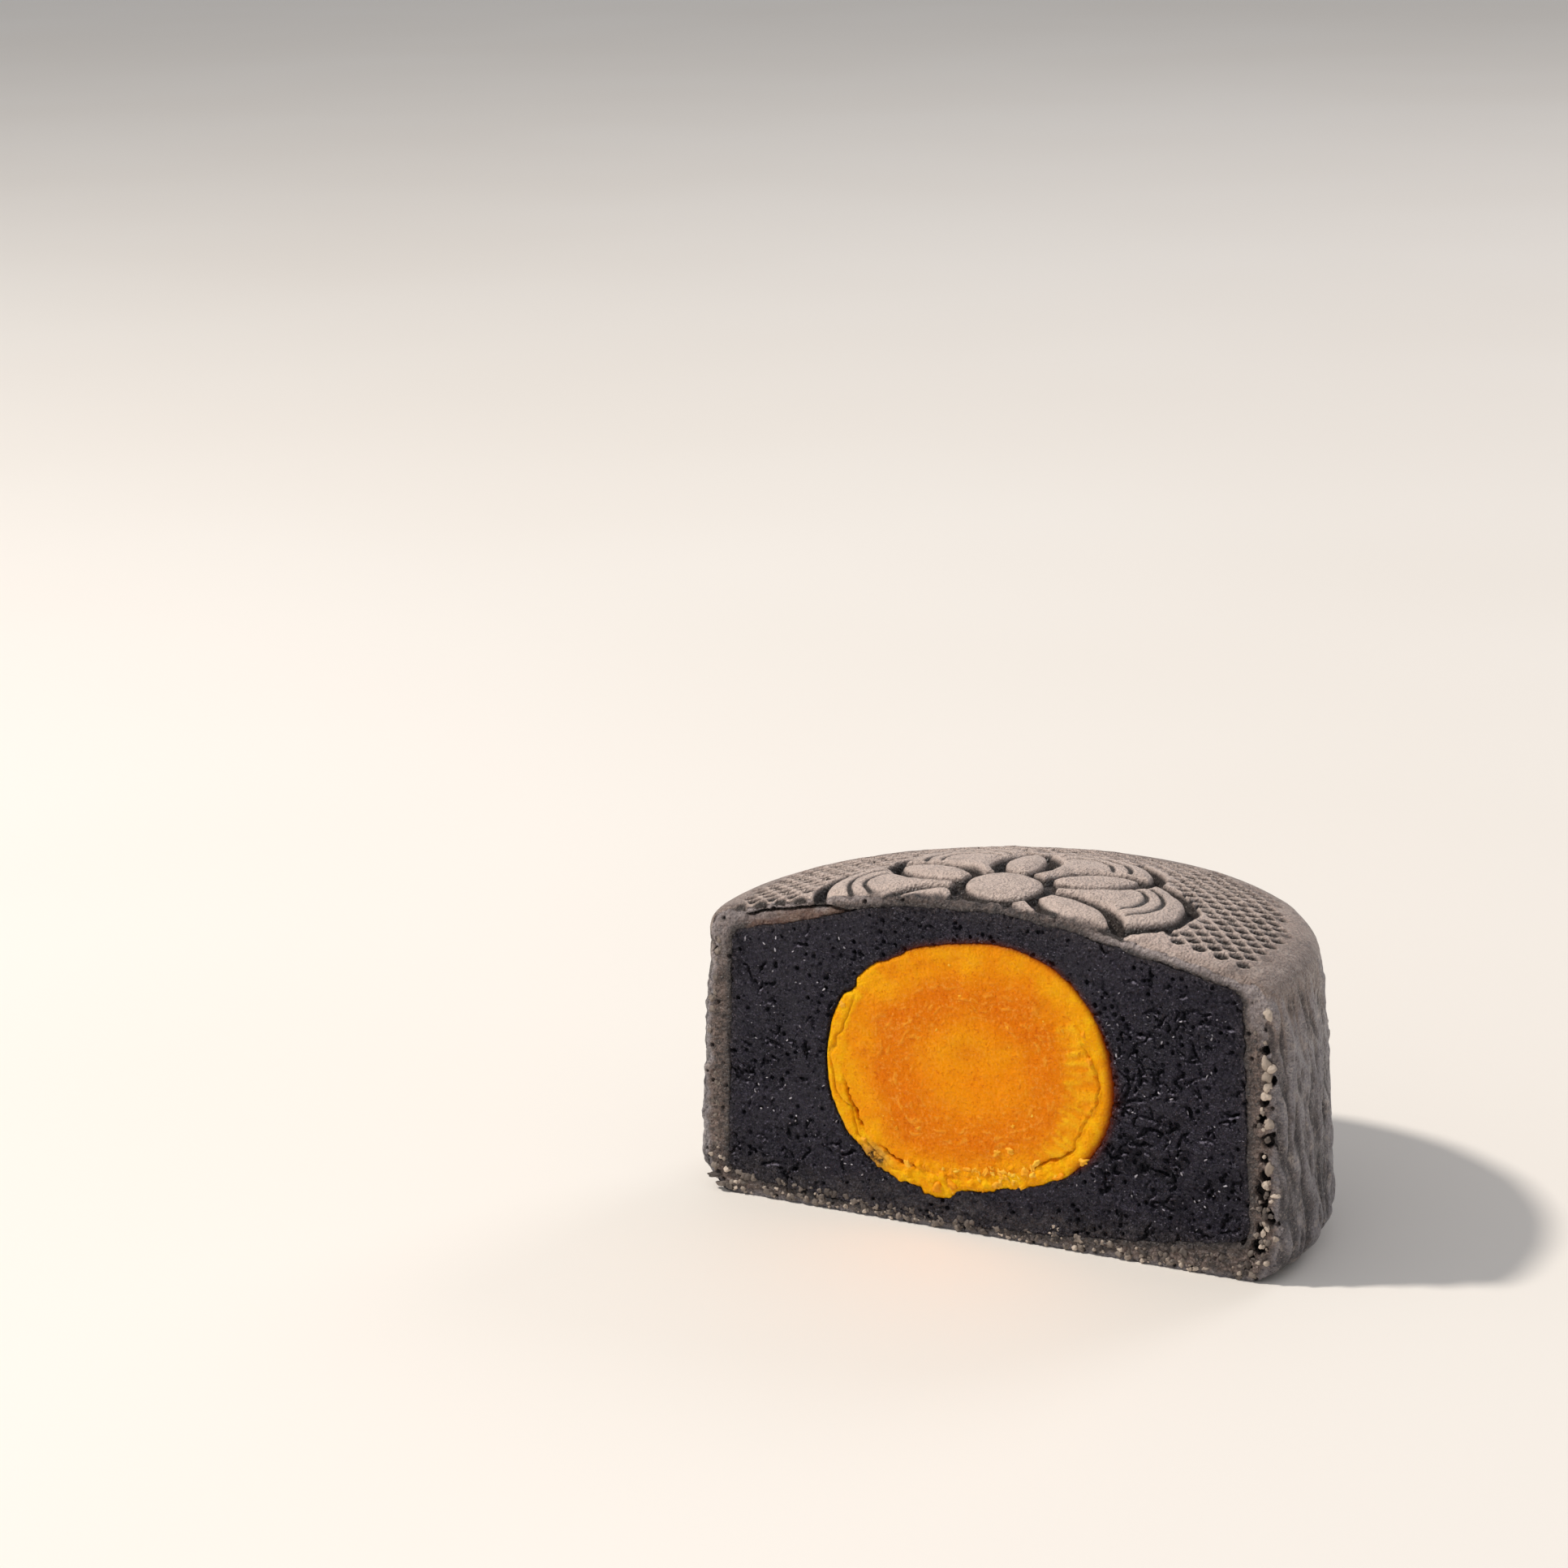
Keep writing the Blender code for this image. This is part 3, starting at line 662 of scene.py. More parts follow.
def filling_face(flat, seam_gap, yolk_gap):
    """Depth of the filling's cut face, the painted shade in its hollows, and how much it is on a lip, where a
    highlight is painted.
    """
    points = on_face(flat)
    x, z = flat[:, 0], flat[:, 1]
    rough = ramp(noise(points, 6.5, 95), -0.5, 0.5)
    craggy = patch(x, z, 19, 9.5, 6.5, 6.0) + 0.5 * patch(x, z, -20, 8, 5, 5)
    depth = 0.12 * noise(points, 5.5, 91) + 0.06 * noise(points, 1.7, 92)
    depth += (0.035 + 0.04 * rough) * noise(points, 0.6, 93)
    crags = noise(points, 2.2, 89)
    depth += 0.4 * craggy * np.clip(crags + 0.2, -0.2, 1) + 0.16 * craggy * noise(points, 0.9, 88)
    near, which = cells(points, 0.8, 94)
    pits = ramp(near, 0.27, 0.1) * (which > 0.78 - 0.35 * rough) * (0.2 + 0.3 * which)
    small, chance = cells(points, 0.42, 96)
    dots = ramp(small, 0.15, 0.05) * (chance > 0.7 - 0.3 * rough) * 0.16
    cracks, lip_highlights = torn_lines(flat)
    grain, size = cells(points, 0.34, 102)
    bumps = ramp(grain, 0.2, 0.03) * (0.05 + 0.09 * size) * (0.6 + 0.6 * rough + 0.8 * ramp(z, 7, 3))
    turn = np.arctan2(z - YOLK_Z, x - YOLK_X)
    parted = facing(turn, 192, 48, 30)
    depth += edge_fall(seam_gap, 0.04, 0.4) * ramp(z, 3, 6) * ramp(z, 26, 22)
    depth += edge_fall(yolk_gap, 0.06 + 0.5 * parted, 0.35)
    depth += pits + dots + cracks - bumps - 0.06 * lip_highlights
    # painted shade in pits, dots, tears, the gap at the yolk's left and the craggy hollows
    hollow = 2.6 * pits + 4 * dots + 2.6 * cracks + 0.9 * parted * ramp(yolk_gap, 0.4, 0.1)
    hollow += 0.6 * craggy * ramp(crags, 0.1, 0.6)
    return depth, np.clip(hollow, 0, 1), lip_highlights


def stain(flat, yolk_gap):
    """How far the yolk's oil has coloured the filling: most at its lower right, least at its left."""
    turn = np.arctan2(flat[:, 1] - YOLK_Z, flat[:, 0] - YOLK_X)
    right = facing(turn, -14, 36, 10)
    upper = facing(turn, 70, 85, 40)
    wide = 0.2 + 0.34 * right + 0.22 * upper
    return np.exp(-yolk_gap / wide) * np.clip(0.25 + right + upper, 0, 1)


def yolk_polar(flat):
    """Direction from the yolk's middle, and how far out each point lies, with the outline at 1."""
    dx, dz = flat[:, 0] - YOLK_X, flat[:, 1] - YOLK_Z
    angle = np.arctan2(dz, dx)
    return angle, np.hypot(dx, dz) / yolk_reach(angle)


def shell_crack(flat, points):
    """Depth of the cracks under the yolk's outer skin, and how far outside their line each point is."""
    angle, share = yolk_polar(flat)
    line = SHELL_AT + 0.03 * noise(points, 4.0, 111) + 0.012 * noise(points, 1.0, 112)
    line += 0.006 * noise(points, 0.4, 118)
    off = (share - line) * yolk_reach(angle)
    depth = np.zeros(len(flat))
    for middle, half, deep in SHELL_CRACKS:
        away = off_by(angle, middle) / half
        wide = 0.11 * ramp(away, 1.0, 0.3) * (0.5 + 1.1 * noise(points, 1.1, 113))
        wide = np.clip(wide, 0.01, None)
        depth = np.maximum(depth, deep * ramp(np.abs(off), wide + 0.1, wide * 0.3) * ramp(away, 1.05, 0.6))
    return depth, off


def yolk_face(flat, rim_gap):
    """Depth of the yolk's cut face and its named values."""
    points = on_face(flat)
    x, z = flat[:, 0], flat[:, 1]
    angle, share = yolk_polar(flat)
    share = share + 0.06 * noise(points, 5.0, 119) + 0.025 * noise(points, 1.6, 124)
    depth = 0.07 * noise(points, 3.0, 114) + 0.03 * noise(points, 0.9, 115)
    polar = spots(angle * 10, share * 3.0)
    rays = 0.7 * noise(polar, 0.5, 116) + 0.5 * noise(polar * (0.6, 2.2, 1), 0.4, 123)
    flecks = ramp(noise(spots(angle * 4, share * 26), 0.7, 120), 0.3, 0.7)
    cracks, off = shell_crack(flat, points)
    skin = ramp(off, 0.0, 0.4)
    shown = skin * (1 - 0.85 * facing(angle, 92, 68, 40))
    low = facing(angle, 268, 62, 38)
    near, which = cells(points, 0.95, 117)
    crumbs = ramp(near, 0.55, 0.25) * (which > 0.35) * which * ramp(share, 0.76, 0.9) * low
    ring = ramp(share, 0.2, 0.5) * ramp(share, 0.84, 0.58)
    band = ramp(share, 0.6, 0.76) * (1 - skin)
    right = facing(angle, -5, 60, 25)
    left = facing(angle, 195, 50, 30)
    layers = left * ramp(np.abs(share - 0.945 - 0.01 * noise(points, 1.2, 121)), 0.012, 0.003) * 0.2
    burn = patch(x, z, -11.4, 6.3, 1.5, 1.1) * skin
    depth -= 0.3 * crumbs + 0.05 * skin + 0.05 * flecks * ring + 0.05 * rays * band * (0.4 + right)
    depth += cracks + layers + 0.18 * right * skin * ramp(off, 0.9, 0.1) + edge_fall(rim_gap, 0.22, 0.5)
    depth += burn * (0.15 + 0.2 * noise(points, 0.6, 122))
    heart = patch(x, z, -1.3, 17.9, 2.0, 1.6)
    glow = patch(x, z, -0.2, 15.4, 5.6, 4.4)
    oily = facing(angle, -12, 42, 12)
    upper = facing(angle, 70, 85, 40)
    rim = np.exp(-rim_gap / (0.12 + 0.75 * oily + 0.3 * upper)) * np.clip(0.15 + oily + 0.75 * upper, 0, 1)
    values = {
        # painted shade in the cracks under the skin and in the thin layers at the left
        "cavity": np.clip(1.3 * cracks + 2.5 * layers, 0, 1),
        "shell": np.clip(shown + 0.9 * crumbs, 0, 1),
        "ring": np.maximum(ring, 0.7 * heart),
        "glow": np.clip(glow - 0.9 * heart, 0, 1),
        "flecks": flecks * ring,
        "rays": np.clip(0.5 + 0.5 * rays, 0, 1) * band * (0.3 + 0.7 * right),
        "burn": np.clip(1.6 * burn, 0, 1),
        "oil": rim}
    return depth, values


# Pieces

def fill_sections(loop, front):
    """Rows of the filling's skin behind the cut: the section narrows, and its roof follows the dome."""
    reach_back = FILL_R - 0.5
    rows = []
    for turn in np.linspace(0, 1, HIDDEN_ROWS):
        y = -CUT + (reach_back + CUT) * math.sin(turn * math.pi / 2)
        width = math.sqrt((FILL_R**2 - y**2) / (FILL_R**2 - CUT**2))
        x = loop[:, 0] * width
        rise = dome(np.hypot(x, y)) - dome(np.hypot(loop[:, 0], CUT))
        z = loop[:, 1] + rise * ramp(loop[:, 1], 12, 26)
        rows.append(spots(x, y if turn else front, z))
    return np.array(rows)


def add_back(skin, rows, **values):
    """Adds closed rows behind the cut, and a cap on the last one, which lies nearly flat."""
    skin.add_rows(rows, closed=True, **values)
    row = rows[-1]
    flat, faces = filled(row[:, [0, 2]], [], CAP_STEP)
    y = np.full(len(flat), row[:, 1].mean())
    y[: len(row)] = row[:, 1]
    skin.add(spots(flat[:, 0], y, flat[:, 1]), faces)


def make_crust(seam):
    skin = Skin("cavity", "painted_highlight", "cut", "seam", "strip", "base", "streak")
    wall, streak = wall_rows()
    skin.add_rows(wall, closed=False, streak=streak)
    rim, foot, right, left = wall[0], wall[-1], wall[:, 0], wall[:, -1]
    ends = spaced([rim[-1, :2], rim[0, :2]], EDGE_STEP)[1:-1]
    ends[:, 1] = cut_edge(ends[:, 0], 27) - CUT
    outline = np.concatenate([rim[:, :2], ends])
    flat, faces = filled(outline, [], TOP_STEP, PIT_TURN, hexagonal=False)
    points, values = top_points(flat[:, 0], flat[:, 1])
    points[: len(rim)] = rim
    brow = points[len(rim): len(outline)]
    skin.add(points, faces, **values)
    sill = spaced([foot[0], foot[-1]], EDGE_STEP)[1:-1]
    sill[:, 1] = cut_edge(sill[:, 0], 29) - CUT
    outline = np.concatenate([foot, sill[::-1]])
    flat, faces = filled(outline[:, :2], [], BASE_STEP)
    base = spots(flat[:, 0], flat[:, 1])
    base[:, 2] = 0.09 * np.clip(noise(base, 3.5, 31) + 0.3 * noise(base, 1.2, 32), 0, None)
    base[: len(outline)] = outline
    skin.add(base, faces)
    border = np.concatenate([left, sill[::-1], right[::-1], brow[::-1]])
    loop = grown(seam, SEAM_GAP / 2)
    flat, faces = filled(border[:, [0, 2]], [loop], FACE_STEP)
    rim_gap, seam_gap = distance_to(border[:, [0, 2]], flat), distance_to(loop, flat)
    depth, hollow, strip = crust_face(flat, rim_gap, seam_gap)
    points = on_face(flat, depth)
    points[: len(border)] = border
    inner = slice(len(border), len(border) + len(loop))
    smeared = ramp(flat[:, 0], 9, 14) * ramp(flat[:, 1], 23, 26)
    smeared = np.maximum(smeared, 0.7 * ramp(flat[:, 0], -19, -23) * ramp(flat[:, 1], 22, 26))
    cut = ramp(rim_gap, 0.0, 0.9) * (1 - 0.75 * smeared * ramp(seam_gap, 0.2, 1.0))
    cut = np.maximum(cut, crown(flat[:, 0], flat[:, 1]))
    skin.add(
        points, faces, cavity=hollow, cut=cut, seam=np.exp(-((seam_gap / 0.8) ** 2)), strip=strip,
        base=ramp(flat[:, 1] + 0.6 * noise(on_face(flat), 2.0, 90), 4.6, 2.0))
    rows = fill_sections(loop, points[inner, 1])
    rows[0] = points[inner]
    add_back(skin, rows, cut=1.0, seam=1.0)
    return skin.mesh("crust_baked")


def make_filling(seam, yolk):
    skin = Skin("cavity", "lip", "halo", "seam", "base")
    outer, inner = grown(seam, -SEAM_GAP / 2), grown(yolk, SEAM_GAP / 2)
    flat, faces = filled(outer, [inner], FACE_STEP)
    seam_gap, yolk_gap = distance_to(outer, flat), distance_to(inner, flat)
    depth, hollow, lip_highlights = filling_face(flat, seam_gap, yolk_gap)
    frayed = 0.4 + 0.6 * crown(flat[:, 0], flat[:, 1])
    points = on_face(flat, depth)
    skin.add(
        points, faces, cavity=hollow, lip=lip_highlights, halo=stain(flat, yolk_gap), seam=np.exp(-seam_gap / frayed),
        base=ramp(flat[:, 1] + 0.8 * noise(on_face(flat), 2.5, 90), 5.0, 1.6))
    rows = fill_sections(outer, points[: len(outer), 1])
    rows[0] = points[: len(outer)]
    add_back(skin, rows)
    add_back(skin, yolk_back(points[len(outer): len(outer) + len(inner)], 0.05), halo=1.0)
    return skin.mesh("sesame_paste")


def yolk_back(front, extra):
    """Rows over the rounded back of the yolk, from its edge on the cut."""
    start = -math.asin(YOLK_INSET / YOLK_HALF_DEPTH)
    deep = YOLK_HALF_DEPTH + extra
    rows = [front]
    for turn in np.linspace(start, math.radians(86), HIDDEN_ROWS)[1:]:
        share = math.cos(turn) / math.cos(start)
        x = YOLK_X + (front[:, 0] - YOLK_X) * share
        z = YOLK_Z + (front[:, 2] - YOLK_Z) * share
        rows.append(spots(x, YOLK_INSET + deep * math.sin(turn) - CUT, z))
    return np.array(rows)


def make_yolk(yolk):
    skin = Skin("cavity", "shell", "ring", "glow", "flecks", "rays", "burn", "oil")
    loop = grown(yolk, -SEAM_GAP / 2)
    flat, faces = filled(loop, [], FACE_STEP)
    depth, values = yolk_face(flat, distance_to(loop, flat))
    points = on_face(flat, depth)
    skin.add(points, faces, **values)
    add_back(skin, yolk_back(points[: len(loop)], 0.0), shell=1.0)
    return skin.mesh("yolk_cut")


def ball(parts):
    """Points and triangles of a unit ball."""
    bm = bmesh.new()
    bmesh.ops.create_icosphere(bm, subdivisions=parts, radius=1.0)
    points = np.array([v.co[:] for v in bm.verts])
    faces = np.array([[v.index for v in f.verts] for f in bm.faces])
    bm.free()
    return points, faces


def make_crumbs(name, places, seed, rough=0.3, sink=0.35):
    """One piece of loose crumbs on the cut, from (x, z, width, height, thickness, turn) of each."""
    skin = Skin("tone")
    unit, faces = ball(3)
    for k, (x, z, wide, tall, thick, turn) in enumerate(places):
        shifted = unit + 5.0 * k
        lumps = 1 + rough * noise(shifted, 0.9, seed) + 0.4 * rough * noise(shifted, 0.4, seed + 1)
        body = unit * lumps[:, None] * (wide, thick, tall)
        cos, sin = math.cos(turn), math.sin(turn)
        px, pz = body[:, 0] * cos - body[:, 2] * sin, body[:, 0] * sin + body[:, 2] * cos
        z = max(z, 0.03 - pz.min())
        tone = cell_random(np.array([[k, seed, 0]]), 3)[0]
        skin.add(spots(x + px, body[:, 1] - CUT + sink * thick, z + pz), faces, tone=tone)
    return skin.mesh(name)


def flake_places():
    """Flakes and crumbs of yolk along the yolk's lower edge and cracks."""
    rng = np.random.default_rng(21)
    places = [
        (0.5, 6.4, 0.55, 0.24, 0.2, 0.9), (1.1, 7.0, 0.3, 0.22, 0.2, -0.3), (4.7, 7.0, 0.62, 0.42, 0.3, 0.1),
        (5.5, 7.0, 0.36, 0.3, 0.25, 0.5), (1.6, 5.3, 0.62, 0.36, 0.25, 0.3), (3.1, 9.0, 0.42, 0.3, 0.22, -0.2),
        (1.7, 8.6, 0.4, 0.3, 0.22, 0.8), (10.6, 9.1, 0.5, 0.38, 0.35, 0.4), (-2.5, 6.2, 0.5, 0.22, 0.2, 0.1),
        (8.0, 7.2, 0.55, 0.3, 0.3, 0.5), (3.4, 5.8, 0.34, 0.18, 0.2, 0.2), (-4.4, 4.1, 0.8, 0.55, 0.45, 0.2),
        (-3.2, 4.7, 0.6, 0.42, 0.4, -0.3), (-12.4, 7.8, 0.3, 0.24, 0.22, 0.2), (-6.6, 9.8, 0.22, 0.16, 0.14, 0.3),
        (-8.9, 9.5, 0.2, 0.14, 0.12, 1.0), (-9.3, 10.3, 0.2, 0.16, 0.13, 0.1), (3.4, 11.5, 0.24, 0.18, 0.14, 0.5),
        (10.7, 21.6, 0.26, 0.4, 0.18, -0.2), (11.2, 18.9, 0.26, 0.5, 0.18, 0.2), (-14.4, 21.2, 0.3, 0.4, 0.2, -0.4)]
    for _ in range(YOLK_FLAKES):
        turn = math.radians(rng.normal(278, 24))
        share = rng.uniform(0.82, 1.0)
        reach = yolk_reach(turn) * share
        size = rng.uniform(0.16, 0.5)
        x, z = YOLK_X + reach * math.cos(turn), YOLK_Z + reach * math.sin(turn)
        tall, thick = size * rng.uniform(0.4, 0.8), size * rng.uniform(0.3, 0.5)
        places.append((x, z, size, tall, thick, rng.uniform(-1.5, 1.5)))
    for _ in range(YOLK_SPECKS):
        turn = math.radians(rng.uniform(-45, 230))
        reach = yolk_reach(turn) * rng.uniform(0.3, 0.84)
        size = rng.uniform(0.05, 0.12)
        places.append((
            YOLK_X + reach * math.cos(turn), YOLK_Z + reach * math.sin(turn), size * 1.6, size, size * 0.6,
            turn + math.pi / 2))
    return places


def grain_places():
    """Pale grains in the holes of the right side, in both lower corners and along the base."""
    rng = np.random.default_rng(33)
    places = [
        (28.8, 26.0, 0.42, 0.55, 0.35, 0.3), (28.6, 21.3, 0.55, 0.7, 0.45, 0.3), (29.2, 20.9, 0.5, 0.42, 0.4, 0.0),
        (28.8, 20.1, 0.52, 0.5, 0.4, 0.1), (28.9, 19.1, 0.42, 0.55, 0.35, -0.2), (28.7, 18.2, 0.5, 0.42, 0.35, 0.2),
        (29.0, 15.6, 0.5, 0.6, 0.4, 0.1), (29.1, 11.3, 0.42, 0.6, 0.35, -0.3), (28.8, 9.7, 0.3, 0.4, 0.28, 0.1),
        (29.7, 8.8, 0.48, 0.2, 0.25, 0.2), (29.3, 8.2, 0.24, 0.2, 0.2, 0.4), (29.0, 5.5, 0.24, 0.32, 0.25, 0.4),
        (29.8, 4.6, 0.3, 0.26, 0.28, 0.3), (28.2, 2.1, 0.34, 0.26, 0.28, 0.0), (28.9, 2.1, 0.36, 0.28, 0.3, 0.3),
        (26.3, 0.7, 0.3, 0.3, 0.28, 0.0), (22.9, 0.6, 0.34, 0.2, 0.24, 0.1), (21.3, 0.7, 0.24, 0.16, 0.2, 0.2),
        (-27.6, 2.3, 0.4, 0.36, 0.35, 0.5), (-28.3, 3.5, 0.26, 0.24, 0.22, 0.2), (-28.5, 4.5, 0.2, 0.18, 0.18, 0.0),
        (-29.3, 3.7, 0.3, 0.26, 0.25, 0.6), (-26.6, 0.6, 0.28, 0.2, 0.24, 0.1), (-18.8, 0.8, 0.32, 0.26, 0.26, 0.1)]
    for count, low_x, high_x, top in BASE_GRAINS:
        for _ in range(count):
            size = 0.09 + 0.2 * rng.uniform() ** 2
            z = 0.25 + (top - 0.25) * rng.uniform() ** 1.5
            x = rng.uniform(low_x, high_x)
            places.append((x, z, size * rng.uniform(1, 1.5), size, size, rng.uniform(-1, 1)))
    for _ in range(SIDE_GRAINS):
        size = rng.uniform(0.1, 0.26)
        x, z = VOID_ROW_X + rng.normal(0, 0.3), rng.uniform(2, 24)
        places.append((x, z, size, size * 1.3, size, rng.uniform(-1, 1)))
    return places


def dark_crumb_places():
    """Grey-brown crumbs of crust at the torn lower left corner, along the base and up both sides."""
    rng = np.random.default_rng(44)
    places = [
        (-28.9, 1.6, 0.9, 0.28, 0.45, 0.25), (-28.0, 0.8, 0.7, 0.3, 0.45, 0.1),
        (-28.9, 2.6, 0.45, 0.4, 0.4, 0.9)]
    for _ in range(BASE_CRUMBS):
        x = rng.uniform(-28, 28)
        size = rng.uniform(0.15, 0.36)
        z = 0.35 + rng.uniform(0, 1) * (1.0 + 1.6 * (abs(x) / 28) ** 2)
        places.append((x, z, size * 1.3, size, size * 0.8, rng.uniform(-1, 1)))
    for _ in range(SIDE_CRUMBS):
        side = rng.choice((-1, 1))
        size = rng.uniform(0.12, 0.3)
        z = rng.uniform(2.5, 26)
        middle = side * (28.6 - 0.02 * z)
        places.append((middle + rng.normal(0, 0.4), z, size, size * 1.2, size * 0.7, rng.uniform(-1, 1)))
    return places


def glint_places():
    """Small pale bits that stand on the filling's cut face."""
    rng = np.random.default_rng(55)
    places = []
    while len(places) < GLINTS:
        x, z = rng.uniform(-25, 25), rng.uniform(4, 29)
        clear = math.hypot(x - YOLK_X, z - YOLK_Z) - yolk_reach(math.atan2(z - YOLK_Z, x - YOLK_X))
        if clear > 0.5 and z < dome(math.hypot(x, CUT)) - 3.2:
            size = rng.uniform(0.035, 0.08)
            places.append((x, z, size * rng.uniform(1, 3.2), size, size, rng.uniform(-1.5, 1.5)))
    return places


# Materials

class Nodes:
    """Short ways to add and join shader nodes."""

    def __init__(self, name):
        self.material = bpy.data.materials.new(name)
        self.material.use_nodes = True
        self.tree = self.material.node_tree
        self.shader = self.tree.nodes["Principled BSDF"]
        self.place = self.add("ShaderNodeTexCoord").outputs["Object"]

    def add(self, kind, inputs=(), **settings):
        node = self.tree.nodes.new(kind)
        for key, value in settings.items():
            setattr(node, key, value)
        for key, value in dict(inputs).items():
            self.give(node.inputs[key], value)
        return node

    def give(self, socket, value):
        if isinstance(value, bpy.types.NodeSocket):
            self.tree.links.new(value, socket)
        else:
            socket.default_value = value

    def math(self, operation, a, b):
        return self.add("ShaderNodeMath", {0: a, 1: b}, operation=operation).outputs[0]

    def times(self, a, b):
        return self.math("MULTIPLY", a, b)

    def noise(self, per_mm, detail=3.0, rough=0.55):
        node = self.add("ShaderNodeTexNoise", {
            "Vector": self.place, "Scale": per_mm / MM, "Detail": detail, "Roughness": rough})
        return node.outputs["Fac"]

    def cells(self, per_mm):
        node = self.add("ShaderNodeTexVoronoi", {"Vector": self.place, "Scale": per_mm / MM})
        return node.outputs["Distance"]

    def value(self, name):
        return self.add("ShaderNodeAttribute", attribute_name=name).outputs["Fac"]

    def ramp(self, fac, low, high, start=0.0, end=1.0):
        return self.add("ShaderNodeMapRange", {
            "Value": fac, "From Min": low, "From Max": high, "To Min": start, "To Max": end},
            interpolation_type="SMOOTHSTEP").outputs["Result"]

    def mix(self, fac, a, b):
        node = self.add("ShaderNodeMix", data_type="RGBA")
        self.give(node.inputs["Factor"], fac)
        self.give(node.inputs[6], (*a, 1.0) if isinstance(a, tuple) else a)
        self.give(node.inputs[7], (*b, 1.0) if isinstance(b, tuple) else b)
        return node.outputs[2]

    def blend(self, value, low, high, first, second):
        """From one screen colour to another as the value goes from low to high."""
        return self.mix(self.ramp(value, low, high), linear(*first), linear(*second))

    def coated(self, colour, *coats):
        """The colour under coats of (value, where it starts, where it is full, strength, screen colour)."""
        for value, low, high, strength, screen in coats:
            colour = self.mix(self.ramp(value, low, high, 0, strength), colour, linear(*screen))
        return colour

    def bump(self, height, distance, strength=1.0, under=None):
        node = self.add("ShaderNodeBump", {"Height": height, "Distance": distance * MM, "Strength": strength})
        if under is not None:
            self.tree.links.new(under, node.inputs["Normal"])
        return node.outputs["Normal"]

    def finish(self, colour, roughness, normal, **plain):
        self.give(self.shader.inputs["Base Color"], colour)
        self.give(self.shader.inputs["Roughness"], roughness)
        self.give(self.shader.inputs["Normal"], normal)
        for key, value in plain.items():
            self.shader.inputs[key.replace("_", " ")].default_value = value
        return self.material


def linear(r, g, b):
    """A colour given as screen values from 0 to 255."""
    return tuple((c / 255 / 12.92) if c <= 10.3 else ((c / 255 + 0.055) / 1.055) ** 2.4 for c in (r, g, b))


def crust_material():
    n = Nodes("baked_crust")
    cavity, cut, seam = n.value("cavity"), n.value("cut"), n.value("seam")
    strip, base, streak, painted_highlight = n.value("strip"), n.value("base"), n.value("streak"), n.value("painted_highlight")
    height = n.add("ShaderNodeSeparateXYZ", {0: n.place}).outputs["Z"]
    slow, middle, fine = n.noise(0.09, 3), n.noise(0.6, 5, 0.6), n.noise(3.0, 3, 0.7)
    skin = n.coated(
        n.blend(slow, 0.35, 0.68, (150, 130, 120), (176, 154, 143)),
        # painted sheen: the top made lighter than the rest
        (height, 0.0285, 0.0315, 0.85, (228, 204, 192)),
        (height, 0.027, 0.019, 0.9, (116, 110, 113)),
        (height, 0.018, 0.001, 0.7, (88, 84, 89)),
        # painted shade in the wall's creases and painted light on its folds
        (streak, 0.45, 0.95, 0.75, (54, 50, 55)),
        (streak, 0.55, 0.05, 0.65, (164, 158, 163)),
        (middle, 0.5, 0.7, 0.6, (104, 91, 86)),
        (middle, 0.46, 0.3, 0.5, (206, 190, 180)),
        (fine, 0.52, 0.68, 0.35, (216, 202, 192)),
        (fine, 0.46, 0.34, 0.45, (78, 68, 64)),
        # painted highlight on lips and ribs, painted sheen on the raised panels
        (painted_highlight, 0.1, 0.8, 0.5, (244, 222, 208)),
        (n.cells(1.3), 0.12, 0.05, 0.7, (66, 56, 52)),
        # painted shade in the grooves, pits and veins
        (cavity, 0.0, 0.45, 0.95, (38, 29, 25)))
    # painted glints: pale dots in the grooves and on the lips and ribs
    glint_mask = n.math("MAXIMUM", n.ramp(cavity, 0.1, 0.5, 0, 0.8), n.ramp(painted_highlight, 0.7, 1.0, 0, 0.7))
    painted_glints = n.times(n.ramp(n.cells(3.0), 0.17, 0.07), glint_mask)
    skin = n.mix(painted_glints, skin, linear(238, 226, 216))
    crumb = n.coated(
        n.blend(n.noise(2.1, 4, 0.65), 0.36, 0.64, (52, 42, 39), (128, 109, 101)),
        (n.noise(1.0, 4, 0.6), 0.5, 0.64, 0.5, (162, 140, 129)),
        (n.cells(2.4), 0.16, 0.06, 0.75, (182, 163, 151)))
    earth = n.blend(n.noise(0.8, 5, 0.65), 0.4, 0.58, (38, 33, 34), (134, 117, 110))
    crumb = n.mix(n.times(base, 0.72), crumb, earth)
    # painted shade in the pores, holes and crack of the cut face
    crumb = n.coated(crumb, (cavity, 0.1, 0.9, 0.92, (24, 21, 21)))
    edge = n.blend(fine, 0.5, 0.66, (40, 36, 39), (98, 88, 84))
    crumb = n.mix(n.times(seam, 0.9), crumb, edge)
    brown = n.blend(n.noise(0.9, 3), 0.38, 0.66, (98, 68, 58), (134, 108, 94))
    crumb = n.mix(n.times(strip, 0.9), crumb, brown)
    colour = n.mix(cut, skin, crumb)
    rough = n.ramp(n.noise(2.2, 3), 0.3, 0.7, 0.26, 0.48)
    lumps = n.times(n.noise(1.9, 5, 0.75), n.math("ADD", cavity, 1.0))
    normal = n.bump(n.cells(3.6), 0.2, 1.0, n.bump(lumps, 0.36))
    return n.finish(colour, rough, normal, Specular_IOR_Level=0.6)


